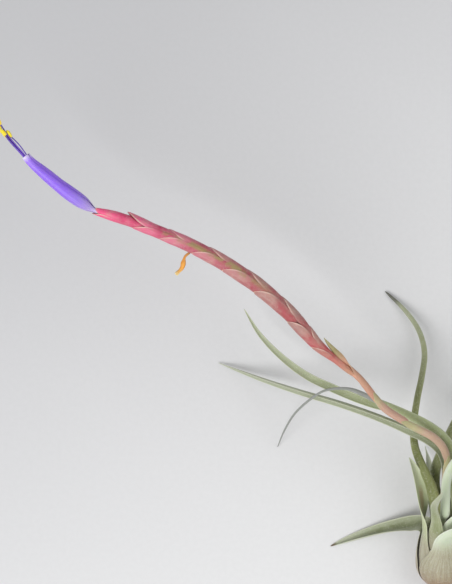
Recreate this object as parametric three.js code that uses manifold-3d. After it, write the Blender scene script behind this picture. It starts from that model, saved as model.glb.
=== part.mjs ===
// Air plant with one flowering spike, picked and laid on its side: a bulb of nested leaf sheaths, narrow
// channelled leaves, an arching scape with its bracts, a spike of overlapping bracts and one open flower.
// Millimetres. X and Y lie in the surface that the plant rests on, with Y along the bulb, and Z points up.
// The origin is the flat spot under the bulb.
import * as THREE from "three";
import { mergeVertices } from "three/addons/utils/BufferGeometryUtils.js";
import Module from "manifold-3d";

const wasm = await Module();
wasm.setup();

const DEG = Math.PI / 180;
const UP = new THREE.Vector3(0, 0, 1);

// General
const bladeThickness = 0.6;
const clearance = 0.3;

// Bulb, measured from its base along its axis
const bulbTilt = 22.5;
const bulbLean = 3;
const bellyAt = 10;
const bellyRadius = 9.8;
const bellyDip = 0.3;
const neckAt = 26;
const neckRadius = 7.9;
const shellPitch = 0.95;
const sheathFootRadius = 2.8;

// Leaves, from the innermost one out
const goldenAngle = 137.5;
const firstAzimuth = 190;
const sheathHalfSpan = 66;
const mouthHalfSpan = 30;
const innerMouthAt = 28;
const mouthStep = 0.5;
const leafTipHalfWidth = 0.3;
const threadShare = 0.16;
const sheathFade = 6;
const longestStep = 8.5;
const leaves = [
  {
    name: "leaf_arching",
    width: 3.8,
    thread: [0.52, 0.68],
    route: [
      [1.9, 22.4, 17], [2.8, 31.8, 22], [1.3, 38.5, 26.5], [-2.3, 43.6, 29.3], [-7.3, 47.3, 30.2],
      [-16.1, 51.7, 30.1], [-24.7, 55.5, 29.5], [-32.8, 59, 28.2], [-40.9, 58.4, 25], [-45.8, 55.2, 21.5],
      [-50.6, 50.3, 16], [-54, 43.9, 8], [-56.1, 37.9, 0.35],
    ],
  },
  {
    name: "leaf_front",
    width: 4.2,
    route: [
      [-1.2, 16.7, 23], [-1.4, 22.2, 27], [-1.5, 28, 31], [-0.7, 32.6, 36], [1.8, 36.9, 40],
      [6.2, 40.2, 42], [12.3, 42.2, 42], [20.5, 42.6, 39], [29.1, 40.6, 33],
    ],
  },
  {
    name: "leaf_long_low",
    width: 3.4,
    route: [
      [0.4, 21, 12.5], [0.3, 29.7, 17], [-0.7, 35.8, 21.5], [-3.2, 39.8, 25], [-7.3, 42.9, 26.2],
      [-12.3, 45.2, 25.8], [-17.9, 47.7, 24], [-25.4, 50.6, 20.8], [-35.8, 54, 16.5], [-49, 57.6, 10],
      [-62.3, 61.7, 4], [-76.4, 66.8, 0.4],
    ],
  },
  {
    name: "leaf_right_long",
    width: 3.8,
    route: [
      [6, 19.5, 19.5], [12, 25, 23.5], [22, 32.5, 27.5], [35, 38, 27.5], [48, 40.5, 22.5],
      [60, 41.5, 13], [68, 41, 3],
    ],
  },
  {
    name: "leaf_tall",
    width: 3.6,
    route: [
      [-4.3, 18.9, 18.2], [-5.8, 26.3, 19.3], [-8.6, 32.9, 18.5], [-10.7, 39.1, 17], [-10.9, 46, 15],
      [-9.5, 54.6, 12], [-7.5, 62.9, 9], [-6.4, 70.3, 6.5], [-7.9, 77.4, 4.2], [-12, 83.9, 2.3],
      [-19.3, 91.3, 0.5],
    ],
  },
  {
    name: "leaf_long_high",
    width: 3.6,
    route: [
      [2.1, 20.6, 9], [3, 29.5, 13.5], [2.3, 36.6, 18.5], [-1, 42.5, 22.5], [-6.7, 47.1, 24.3],
      [-12.7, 50.3, 24.6], [-18.6, 52.5, 24.4], [-25.8, 54.6, 23.6], [-32.5, 56.9, 21.6], [-39.3, 59.7, 19.4],
      [-46.3, 63, 17.5], [-54.6, 69, 15.5], [-62.2, 76.7, 13.5], [-67.6, 85.3, 11.5],
    ],
  },
  {
    name: "leaf_right_raised",
    width: 4,
    route: [[3.5, 16, 24.5], [9, 20, 31], [17, 22, 38], [27, 22, 42], [38, 20, 42], [50, 16, 38]],
  },
  {
    name: "leaf_crossing",
    width: 3.8,
    route: [
      [-2.8, 19.1, 10.5], [-4.1, 25.4, 13.5], [-3.7, 31.6, 14.8], [-1.4, 38, 15.5], [1.3, 43.7, 15],
      [5.5, 50.9, 12], [11.7, 59.1, 7.5], [19.1, 66.4, 3], [26.2, 71.5, 0.4],
    ],
  },
  {
    name: "leaf_right_low",
    width: 4,
    route: [
      [9, 18, 14], [17, 23.5, 13.5], [30, 28.5, 11.5], [45, 30.5, 7.5], [60, 29.5, 2.5],
      [68, 27.5, 0.4],
    ],
  },
  {
    name: "leaf_upright",
    width: 3.4,
    route: [
      [-3.9, 13.4, 21.8], [-4.9, 17.6, 26.5], [-5.7, 19.9, 32], [-5.8, 21.8, 38], [-5.4, 23.9, 44],
      [-4.2, 27, 49],
    ],
  },
  {
    name: "leaf_behind",
    width: 3.6,
    route: [[-3.2, 21.2, 8], [-4.2, 27.3, 8], [-4.7, 31.9, 6], [-5, 35.1, 3], [-5.6, 38.3, 0.4]],
  },
  {
    name: "leaf_right_short",
    width: 4.2,
    route: [[8, 13, 22], [15, 16, 27], [26, 17, 31], [38, 15, 31], [50, 10, 26]],
  },
  {
    name: "leaf_left_short",
    width: 4.4,
    route: [
      [-7.4, 13.2, 13.9], [-7.7, 17.9, 15], [-8.4, 23.7, 17], [-9.7, 29.2, 18.5], [-11.2, 33, 19.5],
      [-12.7, 35.9, 20.5],
    ],
  },
  {
    name: "leaf_right_floor",
    width: 4.2,
    route: [[9, 15, 7.5], [18, 17, 5], [30, 17, 2.5], [42, 15.5, 0.8], [50, 13, 0.4]],
  },
  {
    name: "leaf_reflexed",
    width: 4.2,
    route: [[0.5, 9.5, 25], [4, 12, 31], [10, 12.5, 36.5], [18, 10.5, 39.5]],
  },
  {
    name: "leaf_left_floor",
    width: 4.4,
    thickness: 0.9,
    across: 8,
    route: [[-10, 12, 5.8], [-18, 10.5, 3], [-28, 7.5, 1], [-38, 4, 0.4]],
  },
];

// Scape, and the rachis that carries on from it inside the spike
const scapeRoute = [
  [-0.5, 5.5, 12.1], [-0.7, 12, 14.8], [-1.1, 17.7, 17.3], [-0.9, 25, 20.5], [-0.7, 32, 24.5],
  [-1.2, 37.3, 28.5], [-3.1, 40.9, 31], [-6.2, 43.7, 32.5], [-12.7, 47.2, 34], [-22.5, 53.5, 35.3],
  [-30.6, 63, 36.7], [-38.3, 69.2, 37.8], [-44.3, 74.1, 38.5], [-52.4, 83.2, 39.5], [-64.4, 93.7, 40.8],
  [-81, 104, 42.3], [-102.9, 113.2, 44.2], [-116.5, 117.4, 45.3],
];
const scapeRadius = 0.62;
const rachisRadius = 0.5;
const rachisFrom = 90;
const rachisStop = 8;

// Bracts on the scape, placed from the mouth of the bulb
const scapeBractRadius = 1.16;
const scapeBractHalfSpan = 150;
const scapeBractNeckSpan = 32;
const scapeBractTipSpan = 8;
const scapeBracts = [
  { node: 13.5, length: 23, azimuth: 20, liftFrom: 0.5, lift: 1, openFrom: 0.8 },
  { node: 34.5, length: 23, azimuth: 190, liftFrom: 0.5, lift: 1, openFrom: 0.8 },
  { node: 55, length: 15.5, azimuth: 40, liftFrom: 0.5, lift: 1.15, openFrom: 0.8 },
  { node: 68.5, length: 26, azimuth: 5, liftFrom: 0.3, lift: 2, openFrom: 0.5 },
];

// Bracts of the spike, in two rows, placed by how far each tip lies from the top end of the spike
const floralBractTipRadius = 2.8;
const floralBractSlope = 0.078;
const floralBractFootRadius = 1.05;
const floralBractFoot = 5;
const floralBractHalfSpan = 79;
const floralBracts = [
  { tip: 85.5, length: 16, azimuth: 160 },
  { tip: 80, length: 15.5, azimuth: -12 },
  { tip: 74, length: 18, azimuth: 155 },
  { tip: 67, length: 19, azimuth: -18 },
  { tip: 59, length: 19.5, azimuth: 148 },
  { tip: 53, length: 19, azimuth: -24 },
  { tip: 46.3, length: 19.5, azimuth: 152 },
  { tip: 39, length: 19.5, azimuth: -20 },
  { tip: 34.8, length: 19.5, azimuth: 158 },
  { tip: 25, length: 19.5, azimuth: -14 },
  { tip: 23.3, length: 19.5, azimuth: 164 },
  { tip: 11.5, length: 19.5, azimuth: -8 },
  { tip: 13.8, length: 19.5, azimuth: 168 },
  { tip: 0, length: 18, azimuth: 40, closing: 0.55 },
  { tip: 0.7, length: 19, azimuth: 208, closing: 0.55 },
];

// Corolla of three petals rolled round each other
const corollaRoute = [
  [-110.6, 115.5, 44.8], [-115.8, 117.2, 45.3], [-121.8, 121.2, 46.6], [-130.9, 127.4, 48.2],
  [-135.4, 131.3, 49], [-138, 134.5, 49.4],
];
const petalCount = 3;
const petalFirstAzimuth = 100;
const petalHalfSpan = 72;
const petalFootSpan = 48;
const petalLipDrop = 14;
const petalTipDrop = 28;
const petalRoll = 0.48;
const petalRadii = [
  [0, 0.6], [0.15, 0.62], [0.25, 1.2], [0.36, 1.75], [0.52, 1.78], [0.71, 1.47], [0.87, 1.3], [1, 1.22],
];

// Stamens and style
const stamenRoute = [
  [-127, 124.7, 47.5], [-133.3, 129.4, 48.7], [-138, 134.5, 49.4], [-142.7, 139.7, 50], [-146.6, 145.3, 50.2],
];
const stamenCount = 6;
const filamentRadius = 0.2;
const filamentRing = 0.5;
const filamentSpread = 0.95;
const anther = { length: 2.8, width: 1.1 };
const filamentReach = [0.8, 0.98, 0.85, 0.94, 0.82, 1];
const style = { radius: 0.15, from: 2.4, to: 24.6, stigmaRadius: 0.36, stigmaLength: 0.9 };
const spentStamenAt = 34.3;
const spentStamenRoute = [
  [0, 0, 0], [-1.5, -0.7, -0.1], [-2.6, -2.9, -0.3], [-2.9, -5, -0.6], [-5.2, -7.5, -1.2],
];
const spentStamenFootRadius = 0.34;
const spentStamenTipRadius = 0.55;

// Short stem in the bulb, with stubs of its wiry roots
const caudexRadii = [[-2.6, 1.2], [-1.6, 2], [0.5, 2.3], [7, 2.2], [11, 1.7], [12.6, 1.3]];
const rootsAt = -1.2;
const rootEnds = [
  [-3.4, -6.5, 2.6], [-0.6, -8.2, -1.2], [2.6, -7, 1.4], [1.2, -5.5, -2.9], [3.8, -4.6, -1.6],
];
const rootSag = [0, -0.8, 0.5];
const rootRadius = 0.45;

const vec = (p) => new THREE.Vector3(...p);
const mix = (a, b, t) => a + (b - a) * t;

function smooth(low, high, x) {
  const t = Math.min(1, Math.max(0, (x - low) / (high - low)));
  return t * t * (3 - 2 * t);
}

function fromTable(table, x) {
  let i = 1;
  while (i < table.length - 1 && x > table[i][0]) i += 1;
  const [x0, y0] = table[i - 1];
  const [x1, y1] = table[i];
  return mix(y0, y1, Math.min(1, Math.max(0, (x - x0) / (x1 - x0))));
}

// A route with a frame at each distance along it: T runs along, N is the side that faces up, W is T x N.
function frameOf(tangent) {
  const N = UP.clone().addScaledVector(tangent, -UP.dot(tangent)).normalize();
  return { T: tangent, N, W: tangent.clone().cross(N) };
}

function straight(origin, direction) {
  const frame = frameOf(direction);
  return { at: (d) => origin.clone().addScaledVector(direction, d), frame: () => frame };
}

function routed(points) {
  const curve = new THREE.CatmullRomCurve3(points.map(vec));
  curve.arcLengthDivisions = 400;
  const length = curve.getLength();
  const share = (d) => Math.min(1, Math.max(0, d / length));
  return {
    length,
    at: (d) => curve.getPointAt(share(d)),
    frame: (d) => frameOf(curve.getTangentAt(share(d))),
  };
}

// Direction at an azimuth about a frame: 0 is W and 90 is N, the upper side.
function radial({ N, W }, azimuth) {
  return W.clone().multiplyScalar(Math.cos(azimuth * DEG)).addScaledVector(N, Math.sin(azimuth * DEG));
}

function polar(path, d, radius, azimuth) {
  return path.at(d).addScaledVector(radial(path.frame(d), azimuth), radius);
}

function toGeometry(positions, index) {
  const geometry = new THREE.BufferGeometry();
  geometry.setAttribute("position", new THREE.Float32BufferAttribute(positions, 3));
  geometry.setIndex(index);
  return geometry;
}

// Closed blade of even thickness about a grid of points, rows along the blade and columns across it.
// Nothing reaches below the surface that the plant lies on.
function blade(grid, thickness = bladeThickness) {
  const rows = grid.length;
  const columns = grid[0].length;
  const near = (i, j) => grid[Math.min(rows - 1, Math.max(0, i))][Math.min(columns - 1, Math.max(0, j))];
  const positions = [];
  for (const side of [0.5, -0.5]) {
    for (let i = 0; i < rows; i += 1) {
      for (let j = 0; j < columns; j += 1) {
        const along = near(i + 1, j).clone().sub(near(i - 1, j));
        const across = near(i, j + 1).clone().sub(near(i, j - 1));
        const normal = along.cross(across).normalize();
        const p = grid[i][j].clone().addScaledVector(normal, side * thickness);
        positions.push(p.x, p.y, Math.max(0, p.z));
      }
    }
  }
  const outer = (i, j) => i * columns + j;
  const inner = (i, j) => rows * columns + i * columns + j;
  const index = [];
  const quad = (a, b, c, d) => index.push(a, b, c, a, c, d);
  for (let i = 0; i < rows - 1; i += 1) {
    for (let j = 0; j < columns - 1; j += 1) {
      quad(outer(i, j), outer(i + 1, j), outer(i + 1, j + 1), outer(i, j + 1));
      index.push(inner(i, j), inner(i + 1, j + 1), inner(i + 1, j));
      index.push(inner(i, j), inner(i, j + 1), inner(i + 1, j + 1));
    }
    quad(inner(i, 0), inner(i + 1, 0), outer(i + 1, 0), outer(i, 0));
    quad(outer(i, columns - 1), outer(i + 1, columns - 1), inner(i + 1, columns - 1), inner(i, columns - 1));
  }
  for (let j = 0; j < columns - 1; j += 1) {
    quad(outer(0, j), outer(0, j + 1), inner(0, j + 1), inner(0, j));
    quad(inner(rows - 1, j), inner(rows - 1, j + 1), outer(rows - 1, j + 1), outer(rows - 1, j));
  }
  return toGeometry(positions, index);
}

// Closed round rod through the given distances of a path, with a radius at each.
function rod(path, distances, sides, radiusAt) {
  const positions = [];
  const index = [];
  const last = (distances.length - 1) * sides;
  for (const d of distances) {
    for (let j = 0; j < sides; j += 1) {
      const p = polar(path, d, radiusAt(d), (360 * j) / sides);
      positions.push(p.x, p.y, p.z);
    }
  }
  for (let i = 0; i < distances.length - 1; i += 1) {
    for (let j = 0; j < sides; j += 1) {
      const a = i * sides + j;
      const b = i * sides + ((j + 1) % sides);
      index.push(a, a + sides, b + sides, a, b + sides, b);
    }
  }
  for (let j = 1; j < sides - 1; j += 1) {
    index.push(0, j, j + 1);
    index.push(last, last + j + 1, last + j);
  }
  return toGeometry(positions, index);
}

function steps(from, to, count) {
  return Array.from({ length: count + 1 }, (_, i) => mix(from, to, i / count));
}

// Several closed shapes joined in one body
function joined(geometries) {
  const solids = geometries.map((geometry) => {
    const merged = mergeVertices(geometry, 1e-4);
    return new wasm.Manifold(new wasm.Mesh({
      numProp: 3,
      vertProperties: merged.attributes.position.array,
      triVerts: new Uint32Array(merged.index.array),
    }));
  });
  const mesh = solids.reduce((all, solid) => all.add(solid)).getMesh();
  return toGeometry(Array.from(mesh.vertProperties), Array.from(mesh.triVerts));
}

const plant = new THREE.Group();

function add(name, geometry, color, roughness = 0.8) {
  const mesh = new THREE.Mesh(geometry, new THREE.MeshStandardMaterial({ color, roughness, metalness: 0 }));
  mesh.name = name;
  plant.add(mesh);
}

// Bulb: sheaths nested like onion shells, each on its own stretch of one spiral
const bulbDirection = new THREE.Vector3(
  -Math.sin(bulbLean * DEG) * Math.cos(bulbTilt * DEG),
  Math.cos(bulbLean * DEG) * Math.cos(bulbTilt * DEG),
  Math.sin(bulbTilt * DEG),
);
const bellyCentre = new THREE.Vector3(0, 0, bellyRadius + bladeThickness / 2 - bellyDip);
const bulbAxis = straight(bellyCentre.clone().addScaledVector(bulbDirection, -bellyAt), bulbDirection);

// Distance along the axis and radius of a shell, for stage 0 to 1 from its foot to the belly and 1 to 2
// from the belly to its mouth. The depth is how far the shell lies inside the outermost one.
function shellPoint(stage, depth, mouthAt) {
  if (stage <= 1) {
    const foot = Math.asin(sheathFootRadius / (bellyRadius - depth));
    const angle = mix(foot, Math.PI / 2, stage);
    return {
      along: bellyAt - (bellyAt - depth) * Math.cos(angle),
      radius: (bellyRadius - depth) * Math.sin(angle),
    };
  }
  const along = mix(bellyAt, mouthAt, stage - 1);
  return { along, radius: mix(bellyRadius, neckRadius, smooth(bellyAt, neckAt, along)) - depth };
}

const sheathStages = [0, 0.3, 0.6, 0.78, 1, 1.35, 1.7, 2];

function leafGrid(leaf, order) {
  const azimuth = firstAzimuth + goldenAngle * order;
  const mouthAt = innerMouthAt - mouthStep * (order - 1);
  const turnsInside = (turn) => ((leaves.length - order) * goldenAngle + sheathHalfSpan - turn) / 360;
  const depthAt = (turn) => shellPitch * turnsInside(turn);
  const spanAt = (stage) => mix(sheathHalfSpan, mouthHalfSpan, smooth(1, 2, stage));
  const sheath = sheathStages.map((stage) => shellPoint(stage, depthAt(0), mouthAt));
  const across = leaf.across || 6;

  // Centreline: the middle of the sheath, then the blade's route with a point halfway along each long step
  const sheathMiddle = sheath.map(({ along, radius }) => polar(bulbAxis, along, radius, azimuth));
  const knots = [...sheathMiddle, ...leaf.route.map(vec)];
  const curve = new THREE.CatmullRomCurve3(knots);
  const stations = [];
  for (let i = 0; i < knots.length; i += 1) {
    if (i >= sheath.length && knots[i].distanceTo(knots[i - 1]) > longestStep) stations.push(i - 0.5);
    stations.push(i);
  }
  const centre = (knot) => curve.getPoint(knot / (knots.length - 1));
  const mouth = sheath.length - 1;
  const travelled = [0];
  for (let i = 1; i < stations.length; i += 1) {
    const step = stations[i] > mouth ? centre(stations[i]).distanceTo(centre(stations[i - 1])) : 0;
    travelled.push(travelled[i - 1] + step);
  }
  const bladeLength = travelled.at(-1);

  let outward = radial(bulbAxis.frame(), azimuth);
  return stations.map((knot, i) => {
    const freedom = smooth(mouth - 0.5, mouth + 1.5, knot);
    const { radius } = sheath[Math.min(mouth, Math.round(knot))];
    const share = travelled[i] / bladeLength;
    const taper = leaf.thread
      ? mix(1, threadShare, smooth(...leaf.thread, share))
      : (1 - share ** 4) ** 0.8;
    const free = Math.max(leafTipHalfWidth, (leaf.width / 2) * taper);
    const fadeOut = Math.exp(-travelled[i] / sheathFade);
    const halfWidth = mix(free, radius * mouthHalfSpan * DEG, fadeOut);
    const curvature = mix(Math.max(1, 1.15 * free), radius, fadeOut);
    const tangent = curve.getTangent(knot / (knots.length - 1));
    const T = bulbDirection.clone().lerp(tangent, freedom).normalize();
    outward = outward.clone().addScaledVector(T, -outward.dot(T)).normalize();
    const frame = { N: outward, W: T.clone().cross(outward) };
    return steps(-1, 1, across).map((v) => {
      if (knot <= mouth) {
        const turn = v * spanAt(sheathStages[knot]);
        const { along, radius: shellRadius } = shellPoint(sheathStages[knot], depthAt(turn), mouthAt);
        return polar(bulbAxis, along, shellRadius, azimuth + turn);
      }
      const turn = 90 + (v * halfWidth) / curvature / DEG;
      const arcCentre = centre(knot).addScaledVector(outward, -curvature);
      return arcCentre.addScaledVector(radial(frame, turn), curvature);
    });
  });
}

leaves.forEach((leaf, i) => {
  add(leaf.name, blade(leafGrid(leaf, i + 1), leaf.thickness), 0x93a08a);
});

// Short stem with root stubs
const caudexStops = caudexRadii.map(([d]) => d);
const caudex = rod(bulbAxis, caudexStops, 10, (d) => fromTable(caudexRadii, d));
const rootFoot = bulbAxis.at(rootsAt);
const roots = rootEnds.map((end) => {
  const tip = rootFoot.clone().add(vec(end));
  const bend = rootFoot.clone().lerp(tip, 0.5).add(vec(rootSag));
  const path = routed([rootFoot.toArray(), bend.toArray(), tip.toArray()]);
  return rod(path, steps(0, path.length, 4), 5, () => rootRadius);
});
add("stem", joined([caudex, ...roots]), 0x5b4636, 0.95);

// Scape and rachis in one rod
const scapePath = routed(scapeRoute);
const spikeTop = scapePath.length;
const scapeStops = steps(0, spikeTop - rachisStop, 40);
const scapeRadiusAt = (d) => mix(scapeRadius, rachisRadius, smooth(rachisFrom - 10, rachisFrom, d));
add("scape", rod(scapePath, scapeStops, 8, scapeRadiusAt), 0xc98a6a);

// A bract wrapped round a path, with its radius and half span at each share of its length
function wrapped(path, node, length, azimuth, rows, radiusAt, spanAt) {
  return steps(0, 1, rows).map((share) => steps(-1, 1, 6).map((v) => {
    const turn = azimuth + v * spanAt(share);
    return polar(path, node + share * length, radiusAt(share), turn);
  }));
}

scapeBracts.forEach(({ node, length, azimuth, liftFrom, lift, openFrom }, i) => {
  const radiusAt = (share) => scapeBractRadius + lift * Math.max(0, (share - liftFrom) / (1 - liftFrom));
  const spanAt = (share) => {
    const sheath = mix(scapeBractHalfSpan, scapeBractNeckSpan, smooth(openFrom - 0.3, openFrom, share));
    return mix(sheath, scapeBractTipSpan, smooth(openFrom, 1, share));
  };
  const grid = wrapped(scapePath, node, length, azimuth, 9, radiusAt, spanAt);
  add(`scape_bract_${i + 1}`, blade(grid), 0xb9a06c);
});

floralBracts.forEach(({ tip, length, azimuth, closing = 0 }, i) => {
  const node = spikeTop - tip - length;
  const radiusAt = (share) => {
    const settled = floralBractTipRadius - floralBractSlope * length * (1 - share);
    const foot = smooth(0, floralBractFoot, share * length);
    return mix(floralBractFootRadius, settled, foot) - closing * smooth(0.5, 1, share);
  };
  const spanAt = (share) => mix(floralBractHalfSpan, 7, Math.max(0, (share - 0.5) / 0.5) ** 1.8);
  const grid = wrapped(scapePath, node, length, azimuth, 8, radiusAt, spanAt);
  const order = String(i + 1).padStart(2, "0");
  add(`floral_bract_${order}`, blade(grid), 0xd2667c);
});

// Corolla
const corollaPath = routed(corollaRoute);
for (let i = 0; i < petalCount; i += 1) {
  const middle = petalFirstAzimuth + (360 * i) / petalCount;
  const grid = steps(0, 1, 12).map((share) => {
    const open = smooth(0.13, 0.34, share);
    const roll = petalRoll * Math.min(1, 2 * open) * (1 - smooth(0.66, 0.86, share));
    const span = mix(petalFootSpan, petalHalfSpan, open * open)
      - petalLipDrop * smooth(0.56, 0.68, share) - petalTipDrop * smooth(0.86, 1, share);
    return steps(-1, 1, 6).map((v) => {
      const radius = fromTable(petalRadii, share) + roll * v;
      return polar(corollaPath, share * corollaPath.length, radius, middle + v * span);
    });
  });
  add(`petal_${i + 1}`, blade(grid), 0x7d55d8, 0.5);
}

// Filaments joined low in the tube, one anther beyond each, and the style among them
const stamenPath = routed(stamenRoute);
const filaments = filamentReach.map((reach, i) => {
  const azimuth = (360 * i) / stamenCount;
  const end = reach * stamenPath.length;
  const points = [0, 0.35, 0.6, 0.82, 1].map((share) => {
    const spread = mix(filamentRing, filamentSpread, smooth(0.55, 1, share));
    return polar(stamenPath, share * end, spread, azimuth);
  });
  return { path: routed(points.map((p) => p.toArray())), azimuth };
});
const filamentFoot = rod(stamenPath, [0, 1, 2], 6, () => filamentRing + filamentRadius);
const filamentRods = filaments.map(({ path }) => (
  rod(path, steps(0, path.length, 8), 4, () => filamentRadius)
));
add("filaments", joined([filamentFoot, ...filamentRods]), 0x5a3aa0, 0.6);

const stigmaFrom = style.to - style.stigmaLength;
const styleStops = [...steps(style.from, stigmaFrom, 8), style.to];
const styleRadiusAt = (d) => (d > stigmaFrom ? style.stigmaRadius : style.radius);
add("style", rod(stamenPath, styleStops, 5, styleRadiusAt), 0x7a4a9a, 0.6);

filaments.forEach(({ path, azimuth }, i) => {
  const tip = path.at(path.length);
  const frame = path.frame(path.length);
  const lying = radial(frame, azimuth).multiplyScalar(0.5).add(frame.T).normalize();
  const geometry = new THREE.SphereGeometry(0.5, 6, 5).rotateX(Math.PI / 2);
  geometry.scale(anther.width, anther.width, anther.length);
  geometry.applyQuaternion(new THREE.Quaternion().setFromUnitVectors(UP, lying));
  const middle = tip.clone().addScaledVector(lying, clearance + anther.length / 2);
  geometry.translate(middle.x, middle.y, middle.z);
  geometry.deleteAttribute("normal");
  geometry.deleteAttribute("uv");
  add(`anther_${i + 1}`, mergeVertices(geometry, 1e-4), 0xf2de2a, 0.9);
});

// Withered stamen that hangs from the spike
const spentFoot = polar(scapePath, spikeTop - spentStamenAt, floralBractTipRadius + 0.75, 176);
const spentPath = routed(spentStamenRoute.map((offset) => spentFoot.clone().add(vec(offset)).toArray()));
const spentStops = steps(0, spentPath.length, 8);
const spentRadiusAt = (d) => mix(spentStamenFootRadius, spentStamenTipRadius, d / spentPath.length);
add("withered_stamen", rod(spentPath, spentStops, 6, spentRadiusAt), 0xf0a02c, 0.9);

export default plant;
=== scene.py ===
# %% [markdown]
# # An air plant in flower
#
# The plant lies on its side on a pale table: a bulb of nested leaf sheaths, narrow silvery leaves, an arching
# stalk with its bracts, a pink spike of overlapping bracts and one violet flower. A CAD model of it, with the
# right sizes and places but plain blades, is loaded first as a fixed frame. Each plain piece is then replaced
# by a finer one that follows the same lines.

# %% Load the plain model
from functools import lru_cache
import math

import bpy
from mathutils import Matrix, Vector, noise


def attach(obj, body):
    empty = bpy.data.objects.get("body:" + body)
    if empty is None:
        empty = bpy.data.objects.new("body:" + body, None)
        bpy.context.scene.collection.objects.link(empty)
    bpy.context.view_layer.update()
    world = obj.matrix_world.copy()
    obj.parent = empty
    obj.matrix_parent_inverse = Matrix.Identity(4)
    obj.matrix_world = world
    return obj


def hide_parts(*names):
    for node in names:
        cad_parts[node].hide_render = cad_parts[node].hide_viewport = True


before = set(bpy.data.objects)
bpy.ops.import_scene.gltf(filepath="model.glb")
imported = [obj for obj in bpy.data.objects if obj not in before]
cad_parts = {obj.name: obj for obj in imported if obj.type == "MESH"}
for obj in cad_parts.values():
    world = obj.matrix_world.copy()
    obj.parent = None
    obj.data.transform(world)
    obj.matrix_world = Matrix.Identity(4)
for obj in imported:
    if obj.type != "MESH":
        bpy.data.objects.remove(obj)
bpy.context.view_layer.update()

print("plain pieces:", len(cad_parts))

# %% [markdown]
# ## Numbers of the plant
#
# Lengths are in millimetres and angles in degrees, as on the drawing of the plain model. The bulb's sheaths
# are nested like onion shells, each on its own stretch of one spiral, so a few numbers describe them all.

# %% Numbers of the bulb and its sheaths
MM = 0.001
PLAIN_THICKNESS = 0.6
BULB_TILT = 22.5
BULB_LEAN = 3
BELLY_AT = 10
BELLY_RADIUS = 9.8
BELLY_DIP = 0.3
NECK_AT = 26
NECK_RADIUS = 7.9
SHELL_PITCH = 0.95
SHEATH_FOOT_RADIUS = 2.8
GOLDEN_ANGLE = 137.5
FIRST_AZIMUTH = 190
SHEATH_HALF_SPAN = 66
MOUTH_HALF_SPAN = 30
INNER_MOUTH_AT = 28
MOUTH_STEP = 0.5
SHEATH_STAGES = [0, 0.3, 0.6, 0.78, 1, 1.35, 1.7, 2]
print("bulb:", 2 * BELLY_RADIUS, "mm wide, with", SHELL_PITCH, "mm from one shell to the next")
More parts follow.
